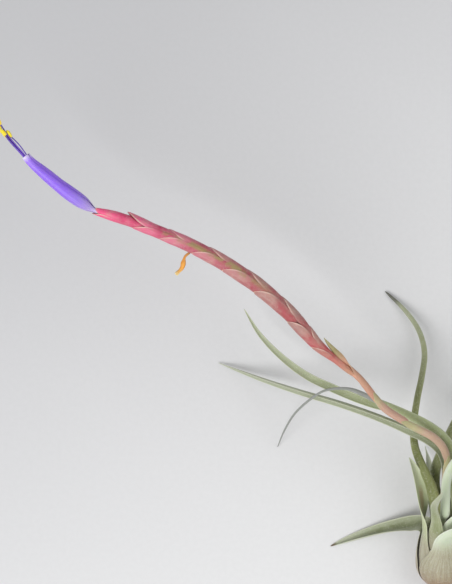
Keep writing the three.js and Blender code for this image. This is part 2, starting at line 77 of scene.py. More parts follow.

# %% [markdown]
# Each leaf has a width and a route: points that its middle runs through once it has left the bulb, given so
# that the leaf bends as the real one does. The list runs from the innermost leaf to the outermost.

# %% Leaves, from the innermost one out
LEAVES = {
    "leaf_arching": (3.8, [
        (1.9, 22.4, 17), (2.8, 31.8, 22), (1.3, 38.5, 26.5), (-2.3, 43.6, 29.3), (-7.3, 47.3, 30.2),
        (-16.1, 51.7, 30.1), (-24.7, 55.5, 29.5), (-32.8, 59, 28.2), (-40.9, 58.4, 25),
        (-45.8, 55.2, 21.5), (-50.6, 50.3, 16), (-54, 43.9, 8), (-56.1, 37.9, 0.35),
    ]),
    "leaf_front": (4.2, [
        (-1.2, 16.7, 23), (-1.4, 22.2, 27), (-1.5, 28, 31), (-0.7, 32.6, 36), (1.8, 36.9, 40),
        (6.2, 40.2, 42), (12.3, 42.2, 42), (20.5, 42.6, 39), (29.1, 40.6, 33),
    ]),
    "leaf_long_low": (3.4, [
        (0.4, 21, 12.5), (0.3, 29.7, 17), (-0.7, 35.8, 21.5), (-3.2, 39.8, 25), (-7.3, 42.9, 26.2),
        (-12.3, 45.2, 25.8), (-17.9, 47.7, 24), (-25.4, 50.6, 20.8), (-35.8, 54, 16.5),
        (-49, 57.6, 10), (-62.3, 61.7, 4), (-76.4, 66.8, 0.4),
    ]),
    "leaf_right_long": (3.8, [
        (6, 19.5, 19.5), (12, 25, 23.5), (22, 32.5, 27.5), (35, 38, 27.5), (48, 40.5, 22.5),
        (60, 41.5, 13), (68, 41, 3),
    ]),
    "leaf_tall": (3.6, [
        (-4.3, 18.9, 18.2), (-5.8, 26.3, 19.3), (-8.6, 32.9, 18.5), (-10.7, 39.1, 17), (-10.9, 46, 15),
        (-9.5, 54.6, 12), (-7.5, 62.9, 9), (-6.4, 70.3, 6.5), (-7.9, 77.4, 4.2), (-12, 83.9, 2.3),
        (-19.3, 91.3, 0.5),
    ]),
    "leaf_long_high": (3.6, [
        (2.1, 20.6, 9), (3, 29.5, 13.5), (2.3, 36.6, 18.5), (-1, 42.5, 22.5), (-6.7, 47.1, 24.3),
        (-12.7, 50.3, 24.6), (-18.6, 52.5, 24.4), (-25.8, 54.6, 23.6), (-32.5, 56.9, 21.6),
        (-39.3, 59.7, 19.4), (-46.3, 63, 17.5), (-54.6, 69, 15.5), (-62.2, 76.7, 13.5),
        (-67.6, 85.3, 11.5),
    ]),
    "leaf_right_raised": (4, [
        (3.5, 16, 24.5), (9, 20, 31), (17, 22, 38), (27, 22, 42), (38, 20, 42), (50, 16, 38),
    ]),
    "leaf_crossing": (3.8, [
        (-2.8, 19.1, 10.5), (-4.1, 25.4, 13.5), (-3.7, 31.6, 14.8), (-1.4, 38, 15.5), (1.3, 43.7, 15),
        (5.5, 50.9, 12), (11.7, 59.1, 7.5), (19.1, 66.4, 3), (26.2, 71.5, 0.4),
    ]),
    "leaf_right_low": (4, [
        (9, 18, 14), (17, 23.5, 13.5), (30, 28.5, 11.5), (45, 30.5, 7.5), (60, 29.5, 2.5),
        (68, 27.5, 0.4),
    ]),
    "leaf_upright": (3.4, [
        (-3.9, 13.4, 21.8), (-4.9, 17.6, 26.5), (-5.7, 19.9, 32), (-5.8, 21.8, 38), (-5.4, 23.9, 44),
        (-4.2, 27, 49),
    ]),
    "leaf_behind": (3.6, [
        (-3.2, 21.2, 8), (-4.2, 27.3, 8), (-4.7, 31.9, 6), (-5, 35.1, 3), (-5.6, 38.3, 0.4),
    ]),
    "leaf_right_short": (4.2, [
        (8, 13, 22), (15, 16, 27), (26, 17, 31), (38, 15, 31), (50, 10, 26),
    ]),
    "leaf_left_short": (4.4, [
        (-7.4, 13.2, 13.9), (-7.7, 17.9, 15), (-8.4, 23.7, 17), (-9.7, 29.2, 18.5), (-11.2, 33, 19.5),
        (-12.7, 35.9, 20.5),
    ]),
    "leaf_right_floor": (4.2, [
        (9, 15, 7.5), (18, 17, 5), (30, 17, 2.5), (42, 15.5, 0.8), (50, 13, 0.4),
    ]),
    "leaf_reflexed": (4.2, [
        (0.5, 9.5, 25), (4, 12, 31), (10, 12.5, 36.5), (18, 10.5, 39.5),
    ]),
    "leaf_left_floor": (4.4, [
        (-10, 12, 5.8), (-18, 10.5, 3), (-28, 7.5, 1), (-38, 4, 0.4),
    ]),
}
print("leaves:", len(LEAVES))

# %% [markdown]
# ## Smooth lines
#
# A route becomes a smooth line by the centripetal Catmull-Rom rule, which passes through every point and
# doesn't loop where two points are close. A curve object could do this too, but it doesn't say how far along
# it a point lies, and the leaves, bracts and petals are all placed by distance.

# %% Small sums that everything uses
def lerp(a, b, t):
    return a + (b - a) * t


def smooth(low, high, x):
    """0 below low, 1 above high, and a soft step between them."""
    t = min(1, max(0, (x - low) / (high - low)))
    return t * t * (3 - 2 * t)


def hermite(p1, p2, slope1, slope2, t):
    """A cubic from p1 to p2 that leaves and arrives with the given slopes."""
    t2, t3 = t * t, t * t * t
    return (p1 * (2 * t3 - 3 * t2 + 1) + slope1 * (t3 - 2 * t2 + t)
            + p2 * (3 * t2 - 2 * t3) + slope2 * (t3 - t2))


def profile(table, x):
    """A smooth value from a short table of (x, value) rows."""
    last = len(table) - 1
    i = next((k for k in range(last) if x <= table[k + 1][0]), last - 1)
    rows = [table[min(last, max(0, k))] for k in (i - 1, i, i + 1, i + 2)]
    (xa, ya), (x0, y0), (x1, y1), (xb, yb) = rows
    span = x1 - x0
    slope0 = (y1 - ya) / (x1 - xa) * span
    slope1 = (yb - y0) / (xb - x0) * span
    return hermite(y0, y1, slope0, slope1, min(1, max(0, (x - x0) / span)))


print("a quarter of the way up, a soft step has risen", smooth(0, 1, 0.25))

# %% The smooth line through a route
SHORTEST = 1e-6
ROUTE_SAMPLES = 600
FRAME_REACH = 0.05


def through(points):
    """Returns f(k): the place on the line at knot k, where whole numbers are the route's own points."""
    first = 2 * points[0] - points[1]
    beyond = 2 * points[-1] - points[-2]
    padded = [first, *points, beyond]

    def place(k):
        i = min(max(int(k), 0), len(points) - 2)
        p0, p1, p2, p3 = padded[i:i + 4]
        lengths = ((b - a).length for a, b in ((p0, p1), (p1, p2), (p2, p3)))
        d0, d1, d2 = (math.sqrt(max(SHORTEST, length)) for length in lengths)
        slope1 = (p1 - p0) / d0 - (p2 - p0) / (d0 + d1) + (p2 - p1) / d1
        slope2 = (p2 - p1) / d1 - (p3 - p1) / (d1 + d2) + (p3 - p2) / d2
        return hermite(p1, p2, slope1 * d1, slope2 * d1, k - i)

    return place


def upright_frame(tangent):
    """The direction along a line, the side of it that faces up, and the third direction square to both."""
    up = Vector((0, 0, 1))
    normal = (up - tangent * up.dot(tangent)).normalized()
    return tangent, normal, tangent.cross(normal)


class Route:
    """A smooth line walked by distance, with places around it given by radius and azimuth."""

    def __init__(self, points):
        self.place = through([Vector(p) for p in points])
        self.knots = [i * (len(points) - 1) / ROUTE_SAMPLES for i in range(ROUTE_SAMPLES + 1)]
        self.travelled = [0]
        for a, b in zip(self.knots, self.knots[1:]):
            step = (self.place(b) - self.place(a)).length
            self.travelled.append(self.travelled[-1] + step)
        self.length = self.travelled[-1]

    @lru_cache(maxsize=None)
    def at(self, distance):
        d = min(self.length, max(0, distance))
        low, high = 0, len(self.knots) - 1
        while high - low > 1:
            half = (low + high) // 2
            low, high = (half, high) if self.travelled[half] <= d else (low, half)
        share = (d - self.travelled[low]) / (self.travelled[high] - self.travelled[low])
        return self.place(lerp(self.knots[low], self.knots[high], share))

    @lru_cache(maxsize=None)
    def frame(self, distance):
        ahead = self.at(min(self.length, distance + FRAME_REACH))
        behind = self.at(max(0, distance - FRAME_REACH))
        return upright_frame((ahead - behind).normalized())

    def around(self, distance, radius, azimuth):
        """The point at a radius and an azimuth: 0 is sideways and 90 is the upper side."""
        _, normal, side = self.frame(distance)
        angle = math.radians(azimuth)
        return self.at(distance) + side * (radius * math.cos(angle)) + normal * (radius * math.sin(angle))


print("a straight route of two points is", round(Route([(0, 0, 0), (0, 0, 5)]).length, 3), "mm long")

# %% [markdown]
# ## Blanks
#
# Leaves, bracts and petals are all thin blades. Each starts as a flat grid, the blank, whose UV map already
# runs across it and along it. Its points are then laid in place by a rule, a row at a time: by hand this
# would be dozens of moves in edit mode, and the rule keeps veins and margins running true along the blade.
# Wall thickness comes last, from a Solidify modifier that reads a vertex group, so a blade is thick in the
# middle and thin at its margins, and one level of subdivision rounds the edges.

# %% A blank and the rule that lays it
def deselect():
    if bpy.context.object and bpy.context.object.mode != "OBJECT":
        bpy.ops.object.mode_set(mode="OBJECT")
    bpy.ops.object.select_all(action="DESELECT")


def blank(name, rows, columns):
    """A flat grid from -1 to 1: x runs across the blade and y along it."""
    deselect()
    bpy.ops.mesh.primitive_grid_add(x_subdivisions=columns, y_subdivisions=rows, size=2)
    piece = bpy.context.object
    piece.name = piece.data.name = name
    return piece


def lay(piece, place, note=None):
    """Moves each point of a blank to place(share along, v across), and keeps note(share, v) as its tint."""
    tint = piece.data.attributes.new("tint", "FLOAT", "POINT")
    for vertex, kept in zip(piece.data.vertices, tint.data):
        share = (vertex.co.y + 1) / 2
        v = vertex.co.x
        kept.value = note(share, v) if note else share
        vertex.co = place(share, v) * MM


# %% Wall thickness and rounding of a blade
def use_modifier(piece, kind, **settings):
    modifier = piece.modifiers.new(kind, kind)
    for key, value in settings.items():
        setattr(modifier, key, value)
    bpy.context.view_layer.objects.active = piece
    bpy.ops.object.modifier_apply(modifier=modifier.name)


def thicken(piece, thickness, thinnest, weight):
    """Gives a blade its wall, from thinnest to full as weight(share, v) goes from 0 to 1."""
    group = piece.vertex_groups.new(name="thickness")
    uv_layer = piece.data.uv_layers.active.data
    for loop in piece.data.loops:
        u, share = uv_layer[loop.index].uv
        group.add([loop.vertex_index], weight(share, 2 * u - 1), "REPLACE")
    use_modifier(piece, "SOLIDIFY", thickness=thickness * MM, offset=0, vertex_group="thickness",
                 thickness_vertex_group=thinnest / thickness)


def soften(piece):
    """One level of subdivision, applied, and smooth shading."""
    use_modifier(piece, "SUBSURF", levels=1, render_levels=1)
    deselect()
    piece.select_set(True)
    bpy.ops.object.shade_smooth()


def rest_on_table(piece):
    """Nothing reaches below the table."""
    for vertex in piece.data.vertices:
        vertex.co.z = max(0, vertex.co.z)


def stand_for(piece, node):
    """Shows the finished piece in place of the plain one."""
    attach(piece, "root")
    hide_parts(node)


print("one millimetre is", MM, "of the scene's own units")

# %% [markdown]
# ## Tubes
#
# The stalk, filaments, style and roots are tubes. A tube is the same blank rolled round its route until its
# two long edges meet. Merging by distance closes the seam, and the ends close because their radius is next to
# nothing there.

# %% A tube from a rolled blank
SEAM_REACH = 0.004


def tube(name, route, start, end, rows, sides, radius_at):
    piece = blank(name, rows, sides)

    def place(share, v):
        distance = lerp(start, end, share)
        return route.around(distance, radius_at(distance, 180 * v), 180 * v)

    lay(piece, place)
    deselect()
    piece.select_set(True)
    bpy.ops.object.mode_set(mode="EDIT")
    bpy.ops.mesh.select_all(action="SELECT")
    bpy.ops.mesh.remove_doubles(threshold=SEAM_REACH * MM)
    bpy.ops.mesh.normals_make_consistent(inside=False)
    bpy.ops.object.mode_set(mode="OBJECT")
    return piece


def closing(distance, start, end, cap):
    """1 along a tube, falling to 0 over the last stretch of each end, so that the end is round."""
    near = min(distance - start, end - distance)
    return math.sqrt(max(0, 1 - (1 - min(1, near / cap)) ** 2))


print("half way into its rounded end, a tube has", round(closing(0.5, 0, 10, 1), 2), "of its radius")

# %% [markdown]
# ## Shader nodes in plain calls
#
# Every finish is procedural. A small helper adds a node and hands back the socket that the next node reads,
# so a finish reads from top to bottom. Colours are written as they look on screen and turned to linear light.

# %% Colours and the node helper
NOISE_DETAIL = 3
NOISE_ROUGHNESS = 0.6


def paint(code):
    """A colour such as 8fa07a, as Blender's linear red, green, blue and alpha."""
    levels = [int(code[i:i + 2], 16) / 255 for i in (0, 2, 4)]
    return (*(c / 12.92 if c <= 0.04045 else ((c + 0.055) / 1.055) ** 2.4 for c in levels), 1)


class Finish:
    """A material, with one method for each kind of node that the plant needs."""

    def __init__(self, name, roughness, **values):
        self.material = bpy.data.materials.new(name)
        self.material.use_nodes = True
        self.tree = self.material.node_tree
        self.shader = self.tree.nodes["Principled BSDF"]
        self.shader.inputs["Roughness"].default_value = roughness
        for key, value in values.items():
            self.shader.inputs[key.replace("_", " ")].default_value = value

    def add(self, kind, output, feeds, **settings):
        node = self.tree.nodes.new("ShaderNode" + kind)
        for key, value in settings.items():
            setattr(node, key, value)
        for key, value in feeds.items():
            if isinstance(value, bpy.types.NodeSocket):
                self.tree.links.new(value, node.inputs[key])
            else:
                node.inputs[key].default_value = value
        return node.outputs[output]

    def across(self):
        """Distance from the blade's middle line: 0 there and 1 at its margins."""
        u = self.add("SeparateXYZ", "X", {0: self.add("TexCoord", "UV", {})})
        off = self.sum("SUBTRACT", u, 0.5)
        return self.sum("MULTIPLY", self.sum("ABSOLUTE", off, 0), 2)

    def along(self):
        return self.add("SeparateXYZ", "Y", {0: self.add("TexCoord", "UV", {})})

    def tint(self):
        return self.add("Attribute", "Fac", {}, attribute_name="tint")

    def sum(self, operation, a, b):
        return self.add("Math", 0, {0: a, 1: b}, operation=operation)

    def step(self, value, low, high, to_low=0, to_high=1):
        """A soft step: to_low where value is under low, to_high where it is over high."""
        feeds = {"Value": value, "From Min": low, "From Max": high, "To Min": to_low, "To Max": to_high}
        return self.add("MapRange", "Result", feeds, interpolation_type="SMOOTHSTEP")

    def mix(self, factor, a, b):
        return self.add("Mix", 2, {0: factor, 6: a, 7: b}, data_type="RGBA", blend_type="MIX")

    def ramp(self, value, stops):
        """Colours by value: stops are (value, colour code)."""
        node = self.tree.nodes.new("ShaderNodeValToRGB")
        self.tree.links.new(value, node.inputs[0])
        elements = node.color_ramp.elements
        while len(elements) < len(stops):
            elements.new(0.5)
        for element, (position, code) in zip(elements, stops):
            element.position = position
            element.color = paint(code)
        return node.outputs["Color"]

    def mottle(self, per_mm, detail=NOISE_DETAIL):
        """Cloudy noise, from 0 to 1, with that many clouds to the millimetre."""
        place = self.add("TexCoord", "Object", {})
        feeds = {"Vector": place, "Scale": per_mm / MM, "Detail": detail, "Roughness": NOISE_ROUGHNESS}
        return self.add("TexNoise", "Fac", feeds)

    def streaks(self, lines, length):
        """Noise drawn out along the blade: that many lines across it, and patches of that share along it."""
        uv = self.add("TexCoord", "UV", {})
        drawn = self.add("Mapping", "Vector", {"Vector": uv, "Scale": (lines, length, 1)})
        feeds = {"Vector": drawn, "Scale": 1, "Detail": NOISE_DETAIL, "Roughness": NOISE_ROUGHNESS}
        return self.add("TexNoise", "Fac", feeds)

    def scales(self, per_mm, low, high):
        """Scattered tiny scales: 1 on a scale and 0 between them."""
        place = self.add("TexCoord", "Object", {})
        cell = self.add("TexVoronoi", "Distance", {"Vector": place, "Scale": per_mm / MM, "Randomness": 1})
        return self.step(cell, low, high, 1, 0)

    def wear(self, colour, height, lift):
        """Puts the colour on the shader, and a bump that stands up by lift millimetres where height is 1."""
        self.tree.links.new(colour, self.shader.inputs["Base Color"])
        normal = self.add("Bump", "Normal", {"Height": height, "Distance": lift * MM, "Strength": 1})
        self.tree.links.new(normal, self.shader.inputs["Normal"])
        return self.material


print("one screen colour in linear light:", [round(c, 3) for c in paint("8fa07a")])

# %% [markdown]
# ## Leaves
#
# A leaf of this plant starts as a thin sheath that wraps a third of the bulb, narrows at the bulb's mouth and
# runs out into a blade that is rolled into half a tube. Its section is part of a circle: the sheath follows
# the bulb, and the blade curls until its margins point inwards. The turn of the section is carried from row
# to row without twisting. Some blades twist on their way, and a short list says where their backs then face.

# %% The bulb's axis and one sheath's shell
tilt, lean = math.radians(BULB_TILT), math.radians(BULB_LEAN)
bulb_direction = Vector((-math.sin(lean) * math.cos(tilt), math.cos(lean) * math.cos(tilt), math.sin(tilt)))
belly_centre = Vector((0, 0, BELLY_RADIUS + PLAIN_THICKNESS / 2 - BELLY_DIP))
bulb_foot = belly_centre - bulb_direction * BELLY_AT
bulb_frame = upright_frame(bulb_direction)


def bulb_point(along, radius, azimuth):
    _, normal, side = bulb_frame
    angle = math.radians(azimuth)
    centre = bulb_foot + bulb_direction * along
    return centre + side * (radius * math.cos(angle)) + normal * (radius * math.sin(angle))


def shell(stage, depth, mouth_at):
    """Distance along the axis and radius: stage 0 to 1 is foot to belly, and 1 to 2 is belly to mouth."""
    if stage <= 1:
        angle = lerp(math.asin(SHEATH_FOOT_RADIUS / (BELLY_RADIUS - depth)), math.pi / 2, stage)
        along = BELLY_AT - (BELLY_AT - depth) * math.cos(angle)
        return along, (BELLY_RADIUS - depth) * math.sin(angle)
    along = lerp(BELLY_AT, mouth_at, stage - 1)
    return along, lerp(BELLY_RADIUS, NECK_RADIUS, smooth(BELLY_AT, NECK_AT, along)) - depth


print("the bulb's foot is at", [round(c, 1) for c in bulb_foot], "mm")

# %% [markdown]
# Each blade has its own width, curl and twist. The real leaves differ as much: one has dried to a thread, one
# is short and almost flat, and the long ones are rolled like gutters. These lists hold what was given against
# the photograph, so that one function can grow every leaf.

# %% Shapes of the blades
ROLL = 1.62
LEAF_TIP = 0.09
# For a leaf that has dried to a thread: where it starts and stops getting thin, and how much width is left
THREAD = {"leaf_arching": (0.34, 0.68, 0.2)}
# How wide each blade is for its plain one, how much wider still at its foot, how sharp its tip is, and for
# flatter blades how far they roll
BLADE_SHAPES = {
    "leaf_arching": (1.2, 0.2, 0.8), "leaf_front": (0.95, 0.1, 0.8, 1.35), "leaf_long_low": (1.5, 0.1, 0.8),
    "leaf_tall": (0.86, 1.7, 0.4), "leaf_long_high": (1.36, 0.4, 0.7), "leaf_crossing": (1.2, 0.6, 0.8),
    "leaf_upright": (0.9, 0.1, 0.8, 1.3), "leaf_behind": (1.1, 0.5, 1.8),
    "leaf_left_short": (1.2, 0.2, 0.9, 1.0),
}
PLAIN_SHAPE = (1.15, 0.25, 0.8)
# Millimetres from where the leaf leaves the bulb, and the azimuth that its back has turned to there
BLADE_TURNS = {
    "leaf_arching": [(0, -32), (12, 50), (30, 80), (120, 80)],
    "leaf_long_low": [(0, -117), (20, -80), (45, -32), (100, -32)],
    "leaf_long_high": [(0, -65), (18, 50), (40, 70), (62, -55), (100, -75)],
    "leaf_tall": [(0, 157), (8, 125), (40, 112), (100, 105)],
    "leaf_crossing": [(0, 210), (12, 130), (40, 110)],
    "leaf_left_short": [(0, 177), (14, 235), (30, 250)],
}
print("leaves that twist:", len(BLADE_TURNS))

# %% The rows of a leaf
ROWS_PER_STAGE = 4
ROW_STEP = 1.5
LINE_STEPS = 400
LOOK_AHEAD = 0.02
SHEATH_FADE = 6
FOOT_FADE = 16
BLADE_BACK = 0.16
BLADE_TAPER = 4
THREAD_TAPER = 8
TURN_STARTS = 10
# How many knots from the bulb's mouth a leaf starts to turn from the bulb's axis, and follows only its route
AXIS_HOLDS_TO = -0.5
AXIS_LOST_AT = 1.5
# How many knots from the mouth its rows start to leave the sheath's shell
SHELL_HOLDS_TO = -0.6


def leaf_stations(line, mouth, last):
    """Where a leaf's rows are, as (knot, millimetres past the mouth), and how long its blade is."""
    fine = [mouth + i * (last - mouth) / LINE_STEPS for i in range(LINE_STEPS + 1)]
    travelled = [0]
    for a, b in zip(fine, fine[1:]):
        travelled.append(travelled[-1] + (line(b) - line(a)).length)
    length = travelled[-1]
    count = round(length / ROW_STEP)
    stations = [(i / ROWS_PER_STAGE, 0) for i in range(mouth * ROWS_PER_STAGE)]
    j = 0
    for i in range(count + 1):
        d = length * i / count
        while j < LINE_STEPS - 1 and travelled[j + 1] < d:
            j += 1
        share = (d - travelled[j]) / (travelled[j + 1] - travelled[j])
        stations.append((lerp(fine[j], fine[j + 1], share), d))
    return stations, length


def blade_shape(name, width, d, share):
    """Half the width of the free blade, measured round its curl, and the radius of that curl."""
    fullness, foot, sharpness, roll = (*BLADE_SHAPES.get(name, PLAIN_SHAPE), ROLL)[:4]
    if name in THREAD:
        start, end, left = THREAD[name]
        taper = lerp(1, left, smooth(start, end, share)) * (1 - share ** THREAD_TAPER) ** 0.5
    else:
        taper = (1 - share ** BLADE_TAPER) ** sharpness
    free = max(LEAF_TIP, width / 2 * taper * fullness * (1 + foot * math.exp(-d / FOOT_FADE)))
    return free, free / roll


def leaf_rows(name, width, route, order):
    """A function of v for each row of the leaf, and the row's reach: below 0 in the sheath, 1 at the tip."""
    azimuth = FIRST_AZIMUTH + GOLDEN_ANGLE * order
    mouth_at = INNER_MOUTH_AT - MOUTH_STEP * (order - 1)

    def depth_at(turn):
        return SHELL_PITCH * ((len(LEAVES) - order) * GOLDEN_ANGLE + SHEATH_HALF_SPAN - turn) / 360

    def stage_at(knot):
        i = min(int(knot), len(SHEATH_STAGES) - 2)
        return lerp(SHEATH_STAGES[i], SHEATH_STAGES[i + 1], min(1, knot - i))

    def span_at(stage):
        return lerp(SHEATH_HALF_SPAN, MOUTH_HALF_SPAN, smooth(1, 2, stage))

    middle = [bulb_point(*shell(stage, depth_at(0), mouth_at), azimuth) for stage in SHEATH_STAGES]
    points = middle + [Vector(p) for p in route]
    line = through(points)
    mouth = len(SHEATH_STAGES) - 1
    last = len(points) - 1
    stations, length = leaf_stations(line, mouth, last)
    rows = []
    # How far the back is turned for its twist, kept within half a turn of the last row's
    swing = 0
    angle = math.radians(azimuth)
    outward = bulb_frame[2] * math.cos(angle) + bulb_frame[1] * math.sin(angle)
    for knot, d in stations:
        stage = stage_at(knot)
        free, free_curl = blade_shape(name, width, d, min(1, d / length))
        fade = math.exp(-d / SHEATH_FADE)
        radius = shell(stage, depth_at(0), mouth_at)[1]
        half_width = lerp(free, radius * math.radians(span_at(stage)), fade)
        curl = lerp(free_curl, radius, fade)
        ahead = line(min(last, knot + LOOK_AHEAD))
        tangent = (ahead - line(max(0, knot - LOOK_AHEAD))).normalized()
        freedom = smooth(mouth + AXIS_HOLDS_TO, mouth + AXIS_LOST_AT, knot)
        T = bulb_direction.lerp(tangent, freedom).normalized()
        outward = (outward - T * outward.dot(T)).normalized()
        back = outward
        if name in BLADE_TURNS:
            _, normal, side = upright_frame(T)
            now = math.degrees(math.atan2(outward.dot(normal), outward.dot(side)))
            swing += (profile(BLADE_TURNS[name], d) - now - swing + 180) % 360 - 180
            turned = math.radians(swing) * smooth(0, TURN_STARTS, d)
            back = outward * math.cos(turned) - T.cross(outward) * math.sin(turned)
        centre = line(knot) + back * (BLADE_BACK * free * (1 - fade))
        rows.append(leaf_row(azimuth, depth_at, mouth_at, span_at(stage), stage, knot - mouth,
                             centre, back, T.cross(back), half_width, curl))
    reach = [k / mouth - 1 if d == 0 else d / length for k, d in stations]
    return rows, reach


def leaf_row(azimuth, depth_at, mouth_at, span, stage, past_mouth, centre, outward, side, half_width, curl):
    """One row: v from -1 to 1 gives a point on the sheath, on the free blade, or in between at the mouth."""
    freed = smooth(SHELL_HOLDS_TO, 0, past_mouth)

    def point(v):
        turn = v * half_width / curl
        free = centre + outward * (curl * (math.cos(turn) - 1)) - side * (curl * math.sin(turn))
        if freed == 1:
            return free
        wrapped = bulb_point(*shell(stage, depth_at(v * span), mouth_at), azimuth + v * span)
        return wrapped.lerp(free, freed)

    return point


print("half a leaf's width at its tip:", LEAF_TIP, "mm")

# %% [markdown]
# The finish of a leaf has four layers. Under all is green, darker along the channel and paler at the margins.
# Fine veins run from foot to tip. Over them lies scurf: thousands of silvery scales that catch water, which
# turn the green to sage. The sheath goes tan towards the foot, and some tips have dried.

# %% Leaf finish
DRY_OVER = 0.06
BLUSH_AT = 0.42


def leaf_finish(name, face, channel, margin, dry_from, dried="6d5a45", blush=0):
    """Colours by place on the leaf. dry_from is where its tip dries, and blush reddens its middle."""
    f = Finish(name, 0.62, Sheen_Weight=0.25, Sheen_Roughness=0.5, Subsurface_Weight=0.08,
               Subsurface_Radius=(0.0006, 0.0009, 0.0004), Subsurface_Scale=0.6)
    across = f.across()
    reach = f.tint()
    veins = f.streaks(34, 5)
    mottle = f.mottle(0.22)
    green = f.mix(f.step(across, 0.15, 0.7), paint(channel), paint(face))
    green = f.mix(f.step(veins, 0.35, 0.62, 0, 0.45), green, paint(channel))
    green = f.mix(f.step(mottle, 0.42, 0.7, 0, 0.35), green, paint(face))
    edged = f.mix(f.step(across, 0.8, 0.97, 0, 0.75), green, paint(margin))
    sheath = f.mix(f.step(reach, -0.85, -0.25), paint("8a6a4a"), paint("a9a58c"))
    sheath = f.mix(f.step(veins, 0.4, 0.6, 0, 0.35), sheath, paint("6f5a42"))
    colour = f.mix(f.step(reach, -0.2, 0.1), sheath, edged)
    scurf = f.scales(2.6, 0.18, 0.42)
    dusted = f.sum("MULTIPLY", scurf, f.step(f.mottle(0.9), 0.35, 0.62, 0.18, 0.62))
    colour = f.mix(dusted, colour, paint("c8cbbd"))
    colour = f.mix(f.step(reach, 0.35, 1, 0, 0.42), colour, paint("c6cab8"))
    ragged = f.sum("ADD", reach, f.sum("MULTIPLY", f.mottle(0.5), DRY_OVER))
    dry = f.step(ragged, dry_from, dry_from + DRY_OVER)
    colour = f.mix(dry, colour, paint(dried))
    if blush:
        off = f.sum("ABSOLUTE", f.sum("SUBTRACT", reach, BLUSH_AT), 0)
        inside = f.sum("MULTIPLY", f.step(across, 0.5, 0.15), f.step(off, 0.22, 0.08))
        colour = f.mix(f.sum("MULTIPLY", inside, blush), colour, paint("96684c"))
    height = f.sum("ADD", f.sum("MULTIPLY", scurf, 0.45), f.sum("MULTIPLY", veins, 0.8))
    return f.wear(colour, height, 0.09)


# %% Colours of the leaves
# The blade's face, its channel and its margins
SAGE = ("a1a78a", "777e59", "cacdb6")
PALE = ("d0d9c2", "becaac", "dde3d2")
OLIVE = ("8f9569", "6b7140", "bcc095")
GREEN = ("a6ae86", "868e62", "caceac")
BRIGHT = ("8e955c", "6a7038", "b6ba84")
LIGHT = ("a4ab84", "868e60", "ced2b0")
# Painted light: a lighter copy of the leaf colours, for the leaf whose back faces away from the light
MOSS_PAINTED_LIT = ("b6be92", "98a272", "d0d6b4")
SUNLIT = ("b8c096", "a9b187", "d4d8b8")
FADED = ("b3b7a1", "9da288", "c8ccb9")
# The three colours of each leaf, where it starts to dry, and for some its dried colour and its blush
LEAF_TONES = {
    "leaf_arching": (*MOSS_PAINTED_LIT, 0.5, "8a8d87"), "leaf_front": (*PALE, 1.1), "leaf_long_low": (*SAGE, 1.1),
    "leaf_right_long": (*SAGE, 0.95), "leaf_tall": (*BRIGHT, 0.93, "5f5f55"), "leaf_long_high": (*GREEN, 1.1),
    "leaf_right_raised": (*PALE, 1.1), "leaf_crossing": (*OLIVE, 1.1), "leaf_right_low": (*SAGE, 0.96),
    "leaf_upright": (*LIGHT, 1.1), "leaf_behind": (*FADED, 1.1), "leaf_right_short": (*LIGHT, 0.94),
    "leaf_left_short": (*SUNLIT, 1.1, "6d5a45", 0.45), "leaf_right_floor": (*SAGE, 0.94),
    "leaf_reflexed": (*PALE, 1.1), "leaf_left_floor": (*SAGE, 0.95),
}
print("leaves whose tips dry:", sum(tones[3] < 1 for tones in LEAF_TONES.values()))

# %% [markdown]
# The leaves are grown one by one, from the innermost out. A blade is thickest along its middle line and thins
# to its margins and its tip. Leaves that lie on the table are trimmed flat where they would sink into it.

# %% Grow the leaves
LEAF_THICKNESS = 0.42
LEAF_MARGIN = 0.14
LEAF_COLUMNS = 16


def leaf_thickness(share, v):
    return (1 - abs(v) ** 3) * (1 - smooth(0.9, 1, share))


for order, (name, (width, route)) in enumerate(LEAVES.items(), 1):
    rows, reach = leaf_rows(name, width, route, order)
    steps = len(rows) - 1
    leaf = blank(name + "_fine", steps, LEAF_COLUMNS)
    lay(leaf, lambda share, v: rows[round(share * steps)](v), lambda share, v: reach[round(share * steps)])
    thicken(leaf, LEAF_THICKNESS, LEAF_MARGIN, leaf_thickness)
    soften(leaf)
    rest_on_table(leaf)
    leaf.data.materials.append(leaf_finish(name + "_scurf", *LEAF_TONES[name]))
    stand_for(leaf, name)

# %% [markdown]
# ## Stalk and its bracts
#
# The flower stalk, or scape, leaves the bulb between the leaves, bends over and runs on inside the spike. It
# is a slim rod with faint ribs, so a tube whose radius follows a rule makes it.

# %% Numbers of the stalk
SCAPE_ROUTE = Route([
    (-0.5, 5.5, 12.1), (-0.7, 12, 14.8), (-1.1, 17.7, 17.3), (-0.9, 25, 20.5), (-0.7, 32, 24.5),
    (-1.2, 37.3, 28.5), (-3.1, 40.9, 31), (-6.2, 43.7, 32.5), (-12.7, 47.2, 34), (-22.5, 53.5, 35.3),
    (-30.6, 63, 36.7), (-38.3, 69.2, 37.8), (-44.3, 74.1, 38.5), (-52.4, 83.2, 39.5), (-64.4, 93.7, 40.8),
    (-81, 104, 42.3), (-102.9, 113.2, 44.2), (-116.5, 117.4, 45.3),
])
SPIKE_TOP = SCAPE_ROUTE.length
SCAPE_RADIUS = 0.92
RACHIS_RADIUS = 0.5
RACHIS_FROM = 90
RACHIS_STOP = 8
RIB_COUNT = 7
RIB_HEIGHT = 0.04
print("stalk and spike:", round(SPIKE_TOP, 1), "mm long")


# %% Stalk
def stalk_finish():
    f = Finish("stalk_skin", 0.5, Subsurface_Weight=0.1, Subsurface_Radius=(0.001, 0.0005, 0.0003),
               Subsurface_Scale=0.5)
    skin = f.ramp(f.tint(), [(0, "9aa067"), (0.3, "b9a678"), (0.45, "cf9a80"), (0.6, "cf9078"),
                             (1, "c9606a")])
    streaks = f.streaks(16, 30)
    colour = f.mix(f.step(streaks, 0.35, 0.65, 0, 0.4), skin, paint("a5705a"))
    return f.wear(colour, streaks, 0.08)


